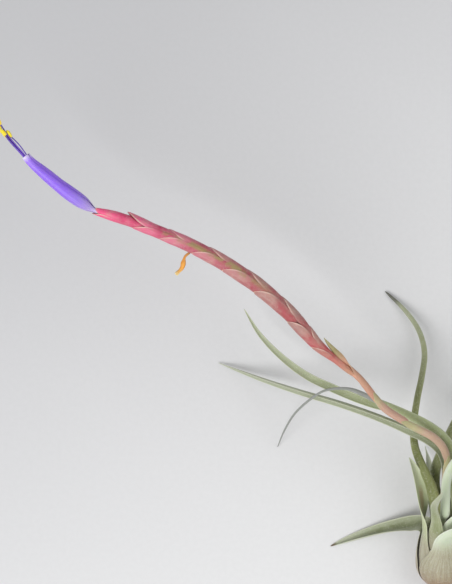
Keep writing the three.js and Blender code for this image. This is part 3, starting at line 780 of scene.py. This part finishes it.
def stalk_radius(distance, azimuth):
    plain = lerp(SCAPE_RADIUS, RACHIS_RADIUS, smooth(RACHIS_FROM - 4, RACHIS_FROM + 8, distance))
    ribs = 1 + RIB_HEIGHT * math.cos(math.radians(RIB_COUNT * azimuth))
    return plain * ribs * closing(distance, 0, SPIKE_TOP - RACHIS_STOP, 0.6)


stalk = tube("scape_fine", SCAPE_ROUTE, 0, SPIKE_TOP - RACHIS_STOP, 150, 28, stalk_radius)
soften(stalk)
stalk.data.materials.append(stalk_finish())
stand_for(stalk, "scape")
print("stalk points:", len(stalk.data.vertices))

# %% [markdown]
# Four bracts wrap the stalk: each is rolled round it nearly all the way and ends in a greenish tip. Three of
# the tips lie close along the stalk. The fourth stands free, and turns its back to the viewer. A bract is
# salmon with brown streaks and a paler edge, and scurf clings to it in patches.

# %% Finish of the stalk's bracts
def scape_bract_finish(name, foot, body, tip):
    f = Finish(name, 0.55, Sheen_Weight=0.15, Subsurface_Weight=0.1,
               Subsurface_Radius=(0.001, 0.0006, 0.0003), Subsurface_Scale=0.5)
    skin = f.ramp(f.along(), [(0, foot), (0.25, body), (0.6, body), (0.78, tip), (1, "989868")])
    streaks = f.streaks(22, 4)
    colour = f.mix(f.step(streaks, 0.4, 0.62, 0, 0.35), skin, paint("a07c68"))
    colour = f.mix(f.sum("MULTIPLY", f.step(f.across(), 0.86, 1), f.step(f.along(), 0.3, 0.6, 0, 0.6)),
                   colour, paint("d6d0a4"))
    scurf = f.sum("MULTIPLY", f.scales(3, 0.15, 0.36), f.step(f.mottle(0.8), 0.4, 0.7, 0.1, 0.5))
    colour = f.mix(scurf, colour, paint("cfc9b8"))
    return f.wear(colour, f.sum("ADD", streaks, f.sum("MULTIPLY", scurf, 0.4)), 0.08)


# The colours of each bract at its foot, along its body and near its tip
SCAPE_BRACT_TONES = [
    ("a8a078", "bca688", "a8a678"), ("b0947c", "bb9e86", "b0ae80"),
    ("b88e7a", "ba9480", "b2a67e"), ("be866e", "bd8d72", "8e8854"),
]
print("bract colours:", len(SCAPE_BRACT_TONES))

# %% Numbers of the stalk's bracts
SCAPE_BRACT_RADIUS = 1.16
SCAPE_BRACT_HALF_SPAN = 150
SCAPE_BRACT_TIP_SPAN = 3
SCAPE_BRACT_THICKNESS = 0.36
SCAPE_BRACT_MARGIN = 0.12
FREE_TIP_TURN = 66
CLOSE_TIP = {"lift": 0.15, "lift_from": 0.5, "open_from": 0.5, "neck": 150}
# Where each bract starts, its length and azimuth, how far its tip stands off, and where and how it opens
SCAPE_BRACTS = [
    {**CLOSE_TIP, "node": 13.5, "length": 23, "azimuth": 60},
    {**CLOSE_TIP, "node": 34.5, "length": 23, "azimuth": 112, "lift": 0.1},
    {**CLOSE_TIP, "node": 55, "length": 15.5, "azimuth": 50, "open_from": 0.4},
    {"node": 68.5, "length": 26, "azimuth": 5, "lift": 2, "lift_from": 0.3, "open_from": 0.5, "neck": 70,
     "free": 1.45},
]
print("bract lengths:", [b["length"] for b in SCAPE_BRACTS], "mm")


# %% Bracts of the stalk
def scape_bract_place(b):
    """A rule for one stalk bract: rolled round the stalk, then open, then a free blade if it has one."""

    def place(share, v):
        distance = b["node"] + share * b["length"]
        rise = max(0, (share - b["lift_from"]) / (1 - b["lift_from"]))
        opening = max(0, (share - b["open_from"]) / (1 - b["open_from"]))
        span = lerp(SCAPE_BRACT_HALF_SPAN, b["neck"], smooth(b["open_from"] - 0.3, b["open_from"], share))
        span = max(SCAPE_BRACT_TIP_SPAN, span * (1 - opening ** 1.5) ** 0.8)
        radius = SCAPE_BRACT_RADIUS + b["lift"] * rise ** 2 - 0.2 * (1 - smooth(0, 0.1, share))
        wrapped = SCAPE_ROUTE.around(distance, radius, b["azimuth"] + v * span)
        if "free" not in b or share <= b["lift_from"]:
            return wrapped
        _, normal, side = SCAPE_ROUTE.frame(distance)
        angle = math.radians(b["azimuth"] + 90 - FREE_TIP_TURN)
        across = side * math.cos(angle) + normal * math.sin(angle)
        face = side * math.sin(angle) - normal * math.cos(angle)
        half_width = b["free"] * max(0.03, 1 - rise ** 2.6) ** 0.8
        back = SCAPE_ROUTE.around(distance, radius, b["azimuth"]) - face * (0.5 * half_width * (1 - v * v))
        blade = back + across * (v * half_width)
        return wrapped.lerp(blade, smooth(b["lift_from"] + 0.08, b["lift_from"] + 0.4, share))

    return place


for i, bract in enumerate(SCAPE_BRACTS, 1):
    piece = blank(f"scape_bract_{i}_fine", 44, 24)
    lay(piece, scape_bract_place(bract))
    thicken(piece, SCAPE_BRACT_THICKNESS, SCAPE_BRACT_MARGIN,
            lambda share, v: (1 - abs(v) ** 3) * (1 - smooth(0.85, 1, share)))
    soften(piece)
    piece.data.materials.append(scape_bract_finish(f"scape_bract_{i}_skin", *SCAPE_BRACT_TONES[i - 1]))
    stand_for(piece, f"scape_bract_{i}")
print("stalk bracts:", len(SCAPE_BRACTS))

# %% [markdown]
# ## Spike
#
# Fifteen bracts overlap in two rows, like tiles. Each hugs the spike at its foot, widens, and closes to a
# blunt point over the foot of the next one up. The bracts of the row on the upper side are wider, and their
# margins tuck in under those of the other row. Noise along each bract keeps the tiles from looking alike.

# %% Numbers of the spike
SPIKE_RADII = [(0, 1.85), (9, 1.9), (22, 2.2), (37, 2.45), (56, 2.74), (76, 2.62), (84, 2.25), (93, 1.35),
               (101, 1.15)]
BRACT_SLOPE = 0.027
BRACT_FOOT_RADIUS = 1.05
BRACT_FOOT = 3.6
BRACT_CLOSING = 0.15
BRACT_KEEL = 0.06
BRACT_UNEVENNESS = 0.09
BRACT_THICKNESS = 0.28
BRACT_MARGIN = 0.08
BRACT_NARROWS = 0.56
TIP_CROWDING = 1.4
SPIKE_LENGTH = 105
# Half the angle that a bract of each row spans, and how far its margins stand out or tuck in
UPPER_ROW = (104, -0.16)
LOWER_ROW = (86, 0.06)
# How far each tip is from the top end of the spike, the bract's length, its azimuth, how far it closes or,
# below 0, stands off, and for the last two where it starts to narrow
SPIKE_BRACTS = [
    (85.5, 16, 160, 0), (80, 18, -12, 0), (74, 18, 155, 0), (67, 22, -18, 0), (59, 19.5, 148, 0),
    (53, 22, -24, 0), (46.3, 19.5, 152, 0), (39, 22, -20, 0), (34.8, 19.5, 154, 0), (25, 22, -14, 0),
    (23.3, 19.5, 158, 0), (10.8, 22, -8, -0.85), (13.8, 19.5, 160, 0), (0.6, 18, 50, 0.62, 0.82),
    (0, 19, 200, 0.5, 0.82),
]
print("widest at the spike's", max(SPIKE_RADII, key=lambda row: row[1])[0], "mm from its top")

# %% [markdown]
# The spike is hot pink at its top and fades to salmon. Each bract is painted crimson at its foot, under the
# tip of
# the one below it: painted shade, for the crease there and the red light that bounces in it. Each also has
# fine streaks, a pale papery margin and a pale tip, which is partly papery and partly a painted highlight
# along the tip's arc. On the middle of the spike the flanks are olive. All bracts share one finish, which
# reads how far each point is from the spike's top.

# %% Finish of the spike
def bract_finish():
    """One finish for the spike. Its tint is the distance from the top: hot pink there, salmon lower down."""
    f = Finish("spike_bract_skin", 0.5, Sheen_Weight=0.12, Subsurface_Weight=0.12,
               Subsurface_Radius=(0.0012, 0.0004, 0.0004), Subsurface_Scale=0.5)
    pink = f.ramp(f.tint(), [(0, "f04c84"), (0.12, "e0648a"), (0.25, "d2748a"), (0.4, "bd7a7d"),
                             (0.55, "ab7f77"), (0.75, "a37c74"), (0.88, "b47668"), (0.96, "b98a6e")])
    # The deep red of the streaks, also laid in the creases as painted shade
    streak_and_shade_red = f.ramp(f.tint(), [(0, "cf2a60"), (0.3, "a52a4e"), (0.7, "a2383f"), (0.87, "b8404a"),
                             (0.95, "b98468")])
    along, across = f.along(), f.across()
    streaks = f.streaks(22, 2.5)
    cloud = f.mottle(0.35)
    colour = f.mix(f.step(streaks, 0.42, 0.7, 0, 0.4), pink, streak_and_shade_red)
    colour = f.mix(f.step(cloud, 0.45, 0.7, 0, 0.4), colour, paint("c39d8f"))
    # Painted shade: crimson at the foot of each bract, in the crease under the tip of the one below it, for
    # the shadow and the red bounce light there
    painted_crease_shade = f.step(along, 0.36, 0.6, 1, 0)
    colour = f.mix(f.sum("MULTIPLY", painted_crease_shade, f.step(cloud, 0.3, 0.6, 0.9, 0.45)), colour, streak_and_shade_red)
    flank = f.sum("MULTIPLY", f.step(across, 0.5, 0.85), f.step(along, 0.7, 0.5))
    olive_part = f.ramp(f.tint(), [(0.18, "000000"), (0.26, "ffffff"), (0.5, "ffffff"), (0.62, "2a2a2a"),
                                   (0.85, "2a2a2a"), (0.9, "000000")])
    flank = f.sum("MULTIPLY", flank, olive_part)
    olive = f.sum("MULTIPLY", flank, f.step(f.mottle(0.25), 0.36, 0.54, 0, 0.9))
    colour = f.mix(olive, colour, paint("9a8853"))
    pale = f.sum("MULTIPLY", f.step(across, 0.78, 0.96), f.step(along, 0.5, 0.75))
    colour = f.mix(f.sum("MULTIPLY", pale, 0.75), colour, paint("e6c4b4"))
    # Partly painted highlight: the pale band at the tip is a papery rim and also stands for the light line
    # along the tip's arc
    colour = f.mix(f.step(along, 0.93, 1, 0, 0.75), colour, paint("e2c8a2"))
    scurf = f.sum("MULTIPLY", f.scales(2.6, 0.12, 0.36), f.step(f.mottle(0.5), 0.4, 0.62, 0, 0.8))
    colour = f.mix(scurf, colour, paint("a99c92"))
    return f.wear(colour, f.sum("ADD", streaks, f.sum("MULTIPLY", scurf, 0.5)), 0.1)


spike_skin = bract_finish()
print("nodes in the finish of the spike:", len(spike_skin.node_tree.nodes))


# %% Bracts of the spike
def spike_bract_place(i, tip, length, azimuth, closes, narrows=BRACT_NARROWS):
    """A rule for one bract. Rows are closer together towards its tip, which keeps the tip round."""
    half_span, margin = LOWER_ROW if abs(azimuth) > 90 else UPPER_ROW
    foot = SPIKE_TOP - tip - length

    def place(share, v):
        s = 1 - (1 - share) ** TIP_CROWDING
        distance = foot + s * length
        settled = profile(SPIKE_RADII, SPIKE_TOP - distance) - BRACT_SLOPE * length * (1 - s)
        settled -= BRACT_CLOSING * smooth(0.72, 1, s) + closes * smooth(0.55, 1, s)
        radius = lerp(BRACT_FOOT_RADIUS, max(settled, BRACT_FOOT_RADIUS), smooth(0, BRACT_FOOT, s * length))
        span = max(2, half_span * (1 - max(0, (s - narrows) / (1 - narrows)) ** 2.2) ** 0.7)
        radius += margin * abs(v) ** 3 * smooth(0.15, 0.4, s)
        radius += BRACT_KEEL * math.exp(-(v / 0.2) ** 2) * smooth(0.3, 0.8, s)
        radius += BRACT_UNEVENNESS * noise.noise(Vector((distance * 0.35, v * 1.6, i * 3.7)))
        return SCAPE_ROUTE.around(distance, radius, azimuth + v * span)

    def note(share, v):
        return (tip + length * (1 - share) ** TIP_CROWDING) / SPIKE_LENGTH

    return place, note


for i, numbers in enumerate(SPIKE_BRACTS, 1):
    piece = blank(f"floral_bract_{i:02d}_fine", 36, 24)
    lay(piece, *spike_bract_place(i, *numbers))
    thicken(piece, BRACT_THICKNESS, BRACT_MARGIN,
            lambda share, v: (1 - abs(v) ** 3) * (1 - smooth(0.9, 1, share)) * smooth(0, 0.08, share))
    soften(piece)
    piece.data.materials.append(spike_skin)
    stand_for(piece, f"floral_bract_{i:02d}")
print("spike bracts:", len(SPIKE_BRACTS))

# %% [markdown]
# ## Flower
#
# Three petals roll round each other into a tube, each with one edge tucked under the next. They are thin and
# let light through, white at the foot and violet above, with fine veins. The tube bows a little to one side,
# and its rim opens to small pale tips.

# %% Numbers of the flower
COROLLA_ROUTE = Route([
    (-110.6, 115.5, 44.8), (-115.8, 117.2, 45.3), (-121.8, 121.2, 46.6), (-130.9, 127.4, 48.2),
    (-135.4, 131.3, 49), (-138, 134.5, 49.4),
])
PETAL_COUNT = 3
PETAL_FIRST_AZIMUTH = 92
PETAL_HALF_SPAN = 76
PETAL_FOOT_SPAN = 50
PETAL_TIP_SPAN = 0.25
PETAL_ROLL = 0.16
PETAL_THICKNESS = 0.24
PETAL_MARGIN = 0.08
RIM_FLARE = 0.22
PETAL_RADII = [(0, 0.6), (0.12, 0.62), (0.18, 0.85), (0.23, 1.45), (0.29, 1.95), (0.35, 2.15), (0.47, 2.2),
               (0.59, 1.98), (0.7, 1.88), (0.82, 1.62), (0.94, 1.3), (1, 1.12)]
# How far the tube bows sideways from its straight middle line
PETAL_BOW = [(0, 0), (0.4, 0), (0.55, 0.25), (0.7, 0.65), (0.82, 0.7), (0.94, 0.35), (1, 0.1)]
print("corolla:", round(COROLLA_ROUTE.length, 1), "mm along its middle")


# %% Finish of the petals
def petal_finish():
    f = Finish("petal_skin", 0.42, Sheen_Weight=0.2, Subsurface_Weight=0.3,
               Subsurface_Radius=(0.0008, 0.0005, 0.0014), Subsurface_Scale=0.6)
    along, across = f.along(), f.across()
    violet = f.ramp(along, [(0.14, "ddd2ee"), (0.22, "b4a0da"), (0.34, "987ce0"), (0.5, "9066e8"),
                            (0.8, "9268ec"), (0.94, "a37cf4"), (1, "e8e0fa")])
    veins = f.streaks(40, 2)
    colour = f.mix(f.step(veins, 0.4, 0.66, 0, 0.35), violet, paint("6c42bc"))
    # Painted shade: the margins are darkened where the petals overlap and their edges turn away from the light
    colour = f.mix(f.step(across, 0.9, 1, 0, 0.5), colour, paint("6a45b0"))
    return f.wear(colour, veins, 0.05)


petal_skin = petal_finish()
print("nodes in the finish of the petals:", len(petal_skin.node_tree.nodes))

# %% Petals
for i in range(PETAL_COUNT):
    middle = PETAL_FIRST_AZIMUTH + 360 * i / PETAL_COUNT

    def place(share, v):
        opening = smooth(0.13, 0.34, share)
        span = lerp(PETAL_FOOT_SPAN, PETAL_HALF_SPAN, opening ** 2)
        span *= max(PETAL_TIP_SPAN, 1 - smooth(0.93, 1.03, share) ** 2) ** 0.5
        azimuth = middle + v * span
        bow = profile(PETAL_BOW, share) * math.cos(math.radians(azimuth))
        flare = RIM_FLARE * smooth(0.95, 1, share)
        radius = profile(PETAL_RADII, share) + PETAL_ROLL * v * opening + bow + flare
        return COROLLA_ROUTE.around(share * COROLLA_ROUTE.length, radius, azimuth)

    petal = blank(f"petal_{i + 1}_fine", 56, 20)
    lay(petal, place)
    thicken(petal, PETAL_THICKNESS, PETAL_MARGIN, lambda share, v: 1 - abs(v) ** 3)
    soften(petal)
    petal.data.materials.append(petal_skin)
    stand_for(petal, f"petal_{i + 1}")
print("petals:", PETAL_COUNT)

# %% [markdown]
# ## Stamens and style
#
# Six filaments stand in a ring in the tube, joined at the foot, and one thin style runs among them. They are
# tubes. Their feet sink into one short plug, which joins them. The style's end is a stigma of twisted lobes.

# %% Numbers of the stamens
STAMEN_ROUTE = Route([
    (-127, 124.7, 47.5), (-133.3, 129.4, 48.7), (-138, 134.5, 49.4), (-142.7, 139.7, 50),
    (-146.6, 145.3, 50.2),
])
FILAMENT_RADIUS = 0.2
FILAMENT_RING = 0.5
FILAMENT_STOPS = (0, 0.35, 0.6, 0.82, 1)
FILAMENT_PLUG = 2
# How far each filament stands from the middle of the bundle, half way out and at its end
FILAMENT_SPREADS = [(1.1, 0.75), (0.5, 0.55), (0.55, 0.6), (0.5, 0.5), (0.5, 0.55), (0.5, 0.6)]
FILAMENT_REACH = [0.8, 0.98, 0.85, 0.94, 0.82, 1]
FILAMENT_TONES = [(0, "b9a4e6"), (0.55, "7448cc"), (1, "44288e")]
STYLE_RADIUS = 0.15
STYLE_FROM = 2.4
STYLE_TO = 24.6
STYLE_TONES = [(0, "a88ad0"), (0.8, "6a4a8c"), (1, "7c4a86")]
STIGMA_RADIUS = 0.36
STIGMA_FROM = STYLE_TO - 0.9
STIGMA_TWIST = 260
print("stamens reach", round(STAMEN_ROUTE.length, 1), "mm from their foot")


# %% Filaments
def filament_route(i):
    azimuth = 360 * i / len(FILAMENT_REACH)
    end = FILAMENT_REACH[i] * STAMEN_ROUTE.length
    half_way, at_end = FILAMENT_SPREADS[i]
    spreads = [(0, FILAMENT_RING), (0.55, FILAMENT_RING), (0.8, half_way), (1, at_end)]
    points = [STAMEN_ROUTE.around(share * end, profile(spreads, share), azimuth) for share in FILAMENT_STOPS]
    return Route(points), azimuth


def thread_finish(name, stops):
    f = Finish(name, 0.45, Subsurface_Weight=0.15, Subsurface_Radius=(0.0005, 0.0003, 0.0008),
               Subsurface_Scale=0.5)
    grain = f.mottle(1.5)
    colour = f.mix(f.step(grain, 0.35, 0.7, 0, 0.3), f.ramp(f.tint(), stops), paint("3b2470"))
    return f.wear(colour, grain, 0.03)


def round_tube(name, route, start, end, rows, sides, radius, cap=0.3):
    return tube(name, route, start, end, rows, sides, lambda d, _: radius * closing(d, start, end, cap))


def join(pieces, name):
    deselect()
    for piece in pieces:
        piece.select_set(True)
    bpy.context.view_layer.objects.active = pieces[0]
    bpy.ops.object.join()
    pieces[0].name = pieces[0].data.name = name
    return pieces[0]


filament_routes = [filament_route(i) for i in range(len(FILAMENT_REACH))]
threads = [round_tube(f"filament_{i}", route, 0, route.length, 40, 10, FILAMENT_RADIUS)
           for i, (route, _) in enumerate(filament_routes)]
plug_radius = FILAMENT_RING + FILAMENT_RADIUS
threads.append(round_tube("filament_foot", STAMEN_ROUTE, 0, FILAMENT_PLUG, 8, 18, plug_radius, 0.6))
filaments = join(threads, "filaments_fine")
soften(filaments)
filaments.data.materials.append(thread_finish("filament_skin", FILAMENT_TONES))
stand_for(filaments, "filaments")
print("filaments:", len(FILAMENT_REACH))


# %% Style
def style_radius(distance, azimuth):
    lobes = 1 + 0.25 * math.cos(math.radians(3 * azimuth + STIGMA_TWIST * (distance - STIGMA_FROM)))
    swelling = smooth(STIGMA_FROM - 0.2, STIGMA_FROM + 0.2, distance)
    plain = lerp(STYLE_RADIUS, STIGMA_RADIUS * lobes, swelling)
    return plain * closing(distance, STYLE_FROM, STYLE_TO, 0.3)


style = tube("style_fine", STAMEN_ROUTE, STYLE_FROM, STYLE_TO, 90, 18, style_radius)
soften(style)
style.data.materials.append(thread_finish("style_skin", STYLE_TONES))
stand_for(style, "style")
print("style:", round(STYLE_TO - STYLE_FROM, 1), "mm long")

# %% [markdown]
# ## Anthers
#
# An anther is two long pollen sacs side by side, and the end of its filament sinks into its lower half. It
# starts as a UV sphere, drawn out and pinched along the middle. Pollen covers it, so every point is then
# pushed in or out a little by noise, and the finish adds finer grains.

# %% Pollen
def pollen_finish():
    f = Finish("pollen", 0.85, Sheen_Weight=0.3)
    grains = f.scales(7, 0.1, 0.5)
    colour = f.mix(f.step(f.mottle(1.2), 0.35, 0.7), paint("fbe610"), paint("fdf24a"))
    # Painted shade: a deeper yellow in the gaps between the grains
    colour = f.mix(f.sum("MULTIPLY", f.step(grains, 0.2, 0.9, 1, 0), 0.25), colour, paint("d4a008"))
    return f.wear(colour, grains, 0.06)


pollen = pollen_finish()
print("nodes in the finish of the pollen:", len(pollen.node_tree.nodes))

# %% Anthers
ANTHER_LENGTH = 3.2
ANTHER_WIDTH = 1.45
ANTHER_FLATNESS = 0.8
ANTHER_BLUNTNESS = 0.15
ANTHER_SEAT = 0.6
ANTHER_LEAN = 0.22
GROOVE_DEPTH = 0.35
GROOVE_WIDTH = 0.13
POLLEN_UNEVENNESS = 0.07


def make_anther(name, middle, axis):
    """An anther along an axis, with the groove between its two sacs down each side."""
    deselect()
    bpy.ops.mesh.primitive_uv_sphere_add(segments=32, ring_count=24, radius=0.5)
    piece = bpy.context.object
    piece.name = piece.data.name = name
    turn = Vector((0, 0, 1)).rotation_difference(axis)
    for vertex in piece.data.vertices:
        x, y, z = vertex.co
        pinch = 1 - GROOVE_DEPTH * math.exp(-(x / GROOVE_WIDTH) ** 2)
        blunt = 1 - ANTHER_BLUNTNESS * (2 * abs(z)) ** 4
        depth = y * ANTHER_WIDTH * ANTHER_FLATNESS * pinch
        shaped = Vector((x * ANTHER_WIDTH, depth, z * ANTHER_LENGTH * blunt))
        shaped += shaped.normalized() * POLLEN_UNEVENNESS * noise.noise(shaped * 4.5)
        vertex.co = (turn @ shaped + middle) * MM
    soften(piece)
    return piece


for i, (route, azimuth) in enumerate(filament_routes, 1):
    T, normal, side = route.frame(route.length)
    angle = math.radians(azimuth)
    axis = (T + (side * math.cos(angle) + normal * math.sin(angle)) * ANTHER_LEAN).normalized()
    middle = route.at(route.length) + axis * ANTHER_SEAT
    anther = make_anther(f"anther_{i}_fine", middle, axis)
    anther.data.materials.append(pollen)
    stand_for(anther, f"anther_{i}")
print("anthers:", len(filament_routes))

# %% [markdown]
# ## Withered stamen
#
# One withered stamen from an older flower hangs out of the spike: an orange thread that swells half way down
# and dries to a pale yellow end. It is a tube again, and its radius wavers as it goes, which looks shrivelled.

# %% Withered stamen
SPENT_AT = 34.3
SPENT_AZIMUTH = 176
SPENT_FOOT_RADIUS = 2.1
SPENT_ROUTE = [(0, 0, 0), (-1.6, -1.3, -0.1), (-2.1, -3, -0.3), (-2.6, -4.9, -0.6), (-4.7, -7.2, -1.2)]
SPENT_RADII = [(0, 0.3), (0.3, 0.42), (0.5, 0.76), (0.68, 0.76), (0.82, 0.55), (1, 0.95)]


def spent_finish():
    f = Finish("withered_skin", 0.7, Subsurface_Weight=0.2, Subsurface_Radius=(0.001, 0.0006, 0.0002),
               Subsurface_Scale=0.5)
    streaks = f.streaks(9, 3)
    skin = f.ramp(f.tint(), [(0, "a87a48"), (0.25, "d99a4c"), (0.65, "eba544"), (0.85, "f0cc7c"),
                             (1, "f4eab0")])
    colour = f.mix(f.step(streaks, 0.4, 0.65, 0, 0.5), skin, paint("b5661c"))
    return f.wear(colour, streaks, 0.12)


spent_foot = SCAPE_ROUTE.around(SPIKE_TOP - SPENT_AT, SPENT_FOOT_RADIUS, SPENT_AZIMUTH)
spent_route = Route([spent_foot + Vector(offset) for offset in SPENT_ROUTE])


def spent_radius(distance, azimuth):
    share = distance / spent_route.length
    shrivel = 1 + 0.18 * math.cos(math.radians(2 * azimuth + 160 * share)) + 0.1 * math.sin(17 * share)
    return profile(SPENT_RADII, share) * shrivel * closing(distance, 0, spent_route.length, 0.4)


spent = tube("withered_stamen_fine", spent_route, 0, spent_route.length, 44, 18, spent_radius)
soften(spent)
spent.data.materials.append(spent_finish())
stand_for(spent, "withered_stamen")
print("withered stamen:", round(spent_route.length, 1), "mm long")

# %% [markdown]
# ## Stem and roots
#
# In the bulb's foot is a short woody stem with the stubs of a few wiry roots. Their tubes are joined and
# remeshed into one skin, so the roots grow out of the stem without a seam, and noise makes the skin rough.

# %% Stem
CAUDEX_RADII = [(-2.6, 1.2), (-1.6, 2), (0.5, 2.3), (7, 2.2), (11, 1.7), (12.6, 1.3)]
ROOTS_AT = -1.2
ROOT_ENDS = [(-3.4, -6.5, 2.6), (-0.6, -8.2, -1.2), (2.6, -7, 1.4), (1.2, -5.5, -2.9), (3.8, -4.6, -1.6)]
ROOT_SAG = (0, -0.8, 0.5)
ROOT_RADIUS = 0.45
SKIN_GRAIN = 0.14
SKIN_UNEVENNESS = 0.09


def woody_finish():
    f = Finish("woody_skin", 0.9)
    grain = f.mottle(1.6, 6)
    colour = f.ramp(grain, [(0.3, "3a2b20"), (0.5, "5e4735"), (0.7, "8c7257")])
    return f.wear(colour, grain, 0.25)


caudex_from, caudex_to = CAUDEX_RADII[0][0], CAUDEX_RADII[-1][0]
caudex_line = Route([bulb_foot + bulb_direction * caudex_from, bulb_foot + bulb_direction * caudex_to])
caudex = tube("caudex", caudex_line, 0, caudex_line.length, 40, 24,
              lambda d, _: profile(CAUDEX_RADII, d + caudex_from) * closing(d, 0, caudex_line.length, 0.7))
woody = [caudex]
root_foot = bulb_foot + bulb_direction * ROOTS_AT
for i, end in enumerate(ROOT_ENDS):
    root_tip = root_foot + Vector(end)
    bend = root_foot.lerp(root_tip, 0.5) + Vector(ROOT_SAG)
    root = Route([root_foot, bend, root_tip])
    woody.append(round_tube(f"root_{i}", root, 0, root.length, 30, 12, ROOT_RADIUS, 0.25))
stem = join(woody, "stem_fine")
use_modifier(stem, "REMESH", mode="VOXEL", voxel_size=SKIN_GRAIN * MM)
for vertex in stem.data.vertices:
    place_mm = vertex.co / MM
    vertex.co += vertex.normal * (SKIN_UNEVENNESS * MM * noise.fractal(place_mm * 1.3, 1, 2, 4))
soften(stem)
rest_on_table(stem)
stem.data.materials.append(woody_finish())
stand_for(stem, "stem")
print("stem triangles:", 2 * len(stem.data.polygons))

# %% [markdown]
# ## Table, light and camera
#
# The table is a plain pale surface, a hair below everything that touches it, because two faces in one place
# render as noise. Its colour is painted darker towards the upper left, as painted shade for the light falling
# off across the backdrop.

# %% Table
TABLE_SIZE = 8
TABLE_DROP = 0.00005
UPPER_LEFT_TO_LOWER_RIGHT = (1, -1, 0)
deselect()
bpy.ops.mesh.primitive_plane_add(size=TABLE_SIZE, location=(0, 0, -TABLE_DROP))
table = bpy.context.object
table.name = "table_top"


def table_finish():
    f = Finish("table_paint_and_shade", 0.85)
    place = f.add("TexCoord", "Object", {})
    slant = f.add("VectorMath", "Value", {0: place, 1: UPPER_LEFT_TO_LOWER_RIGHT}, operation="DOT_PRODUCT")
    # Painted shade: darker towards the upper left, for the light falling off across the table
    shade = f.mix(f.step(slant, -0.4, 0.06), paint("b9b9bb"), paint("dedede"))
    colour = f.mix(f.step(f.mottle(0.6), 0.3, 0.7, 0, 0.05), shade, paint("a8a8a8"))
    return f.wear(colour, f.mottle(0.8), 0.01)


table.data.materials.append(table_finish())
print("table:", TABLE_SIZE, "m wide")

# %% [markdown]
# A wide soft light stands to the lower left of the picture, as in the photograph, and a weaker one opposite
# it. The room's own light fills the shadows, so that the far sides of the leaves keep their colour.

# %% Lights
LIGHT_AIM = Vector((-0.06, 0.08, 0.02))
ROOM_LIGHT = 0.5


def soft_light(name, place, size, watts):
    """A round lamp at a place, turned to the middle of the plant."""
    bpy.ops.object.light_add(type="AREA", location=place)
    light = bpy.context.object
    light.name = name
    light.data.shape = "DISK"
    light.data.size = size
    light.data.energy = watts
    light.rotation_euler = (LIGHT_AIM - Vector(place)).to_track_quat("-Z", "Y").to_euler()


soft_light("key_light", (-0.55, -0.35, 0.75), 0.7, 7.4)
soft_light("fill_light", (0.6, 0.3, 0.9), 0.9, 3.4)
world = bpy.data.worlds.new("room")
bpy.context.scene.world = world
world.use_nodes = True
backdrop = world.node_tree.nodes["Background"]
backdrop.inputs["Color"].default_value = paint("f2f3f5")
backdrop.inputs["Strength"].default_value = ROOM_LIGHT
bpy.context.scene.view_settings.view_transform = "Standard"

# %% [markdown]
# The photograph sees the plant from one side. Here the plant lies down with that side up, so a camera that
# looks straight down sees the same. A long lens keeps the view flat, as in the photograph.

# %% Camera
CAMERA_PLACE = (-0.0737, 0.0910, 0.750)
LENS_LENGTH = 135
SENSOR_WIDTH = 36
bpy.ops.object.camera_add(location=CAMERA_PLACE, rotation=(0, 0, 0))
camera = bpy.context.object
camera.data.lens = LENS_LENGTH
camera.data.sensor_width = SENSOR_WIDTH
bpy.context.scene.camera = camera
print("camera:", CAMERA_PLACE[2], "m over the table")

# %% [markdown]
# Last, the scene is brought up to date.

# %% Bring the scene up to date
bpy.context.view_layer.update()
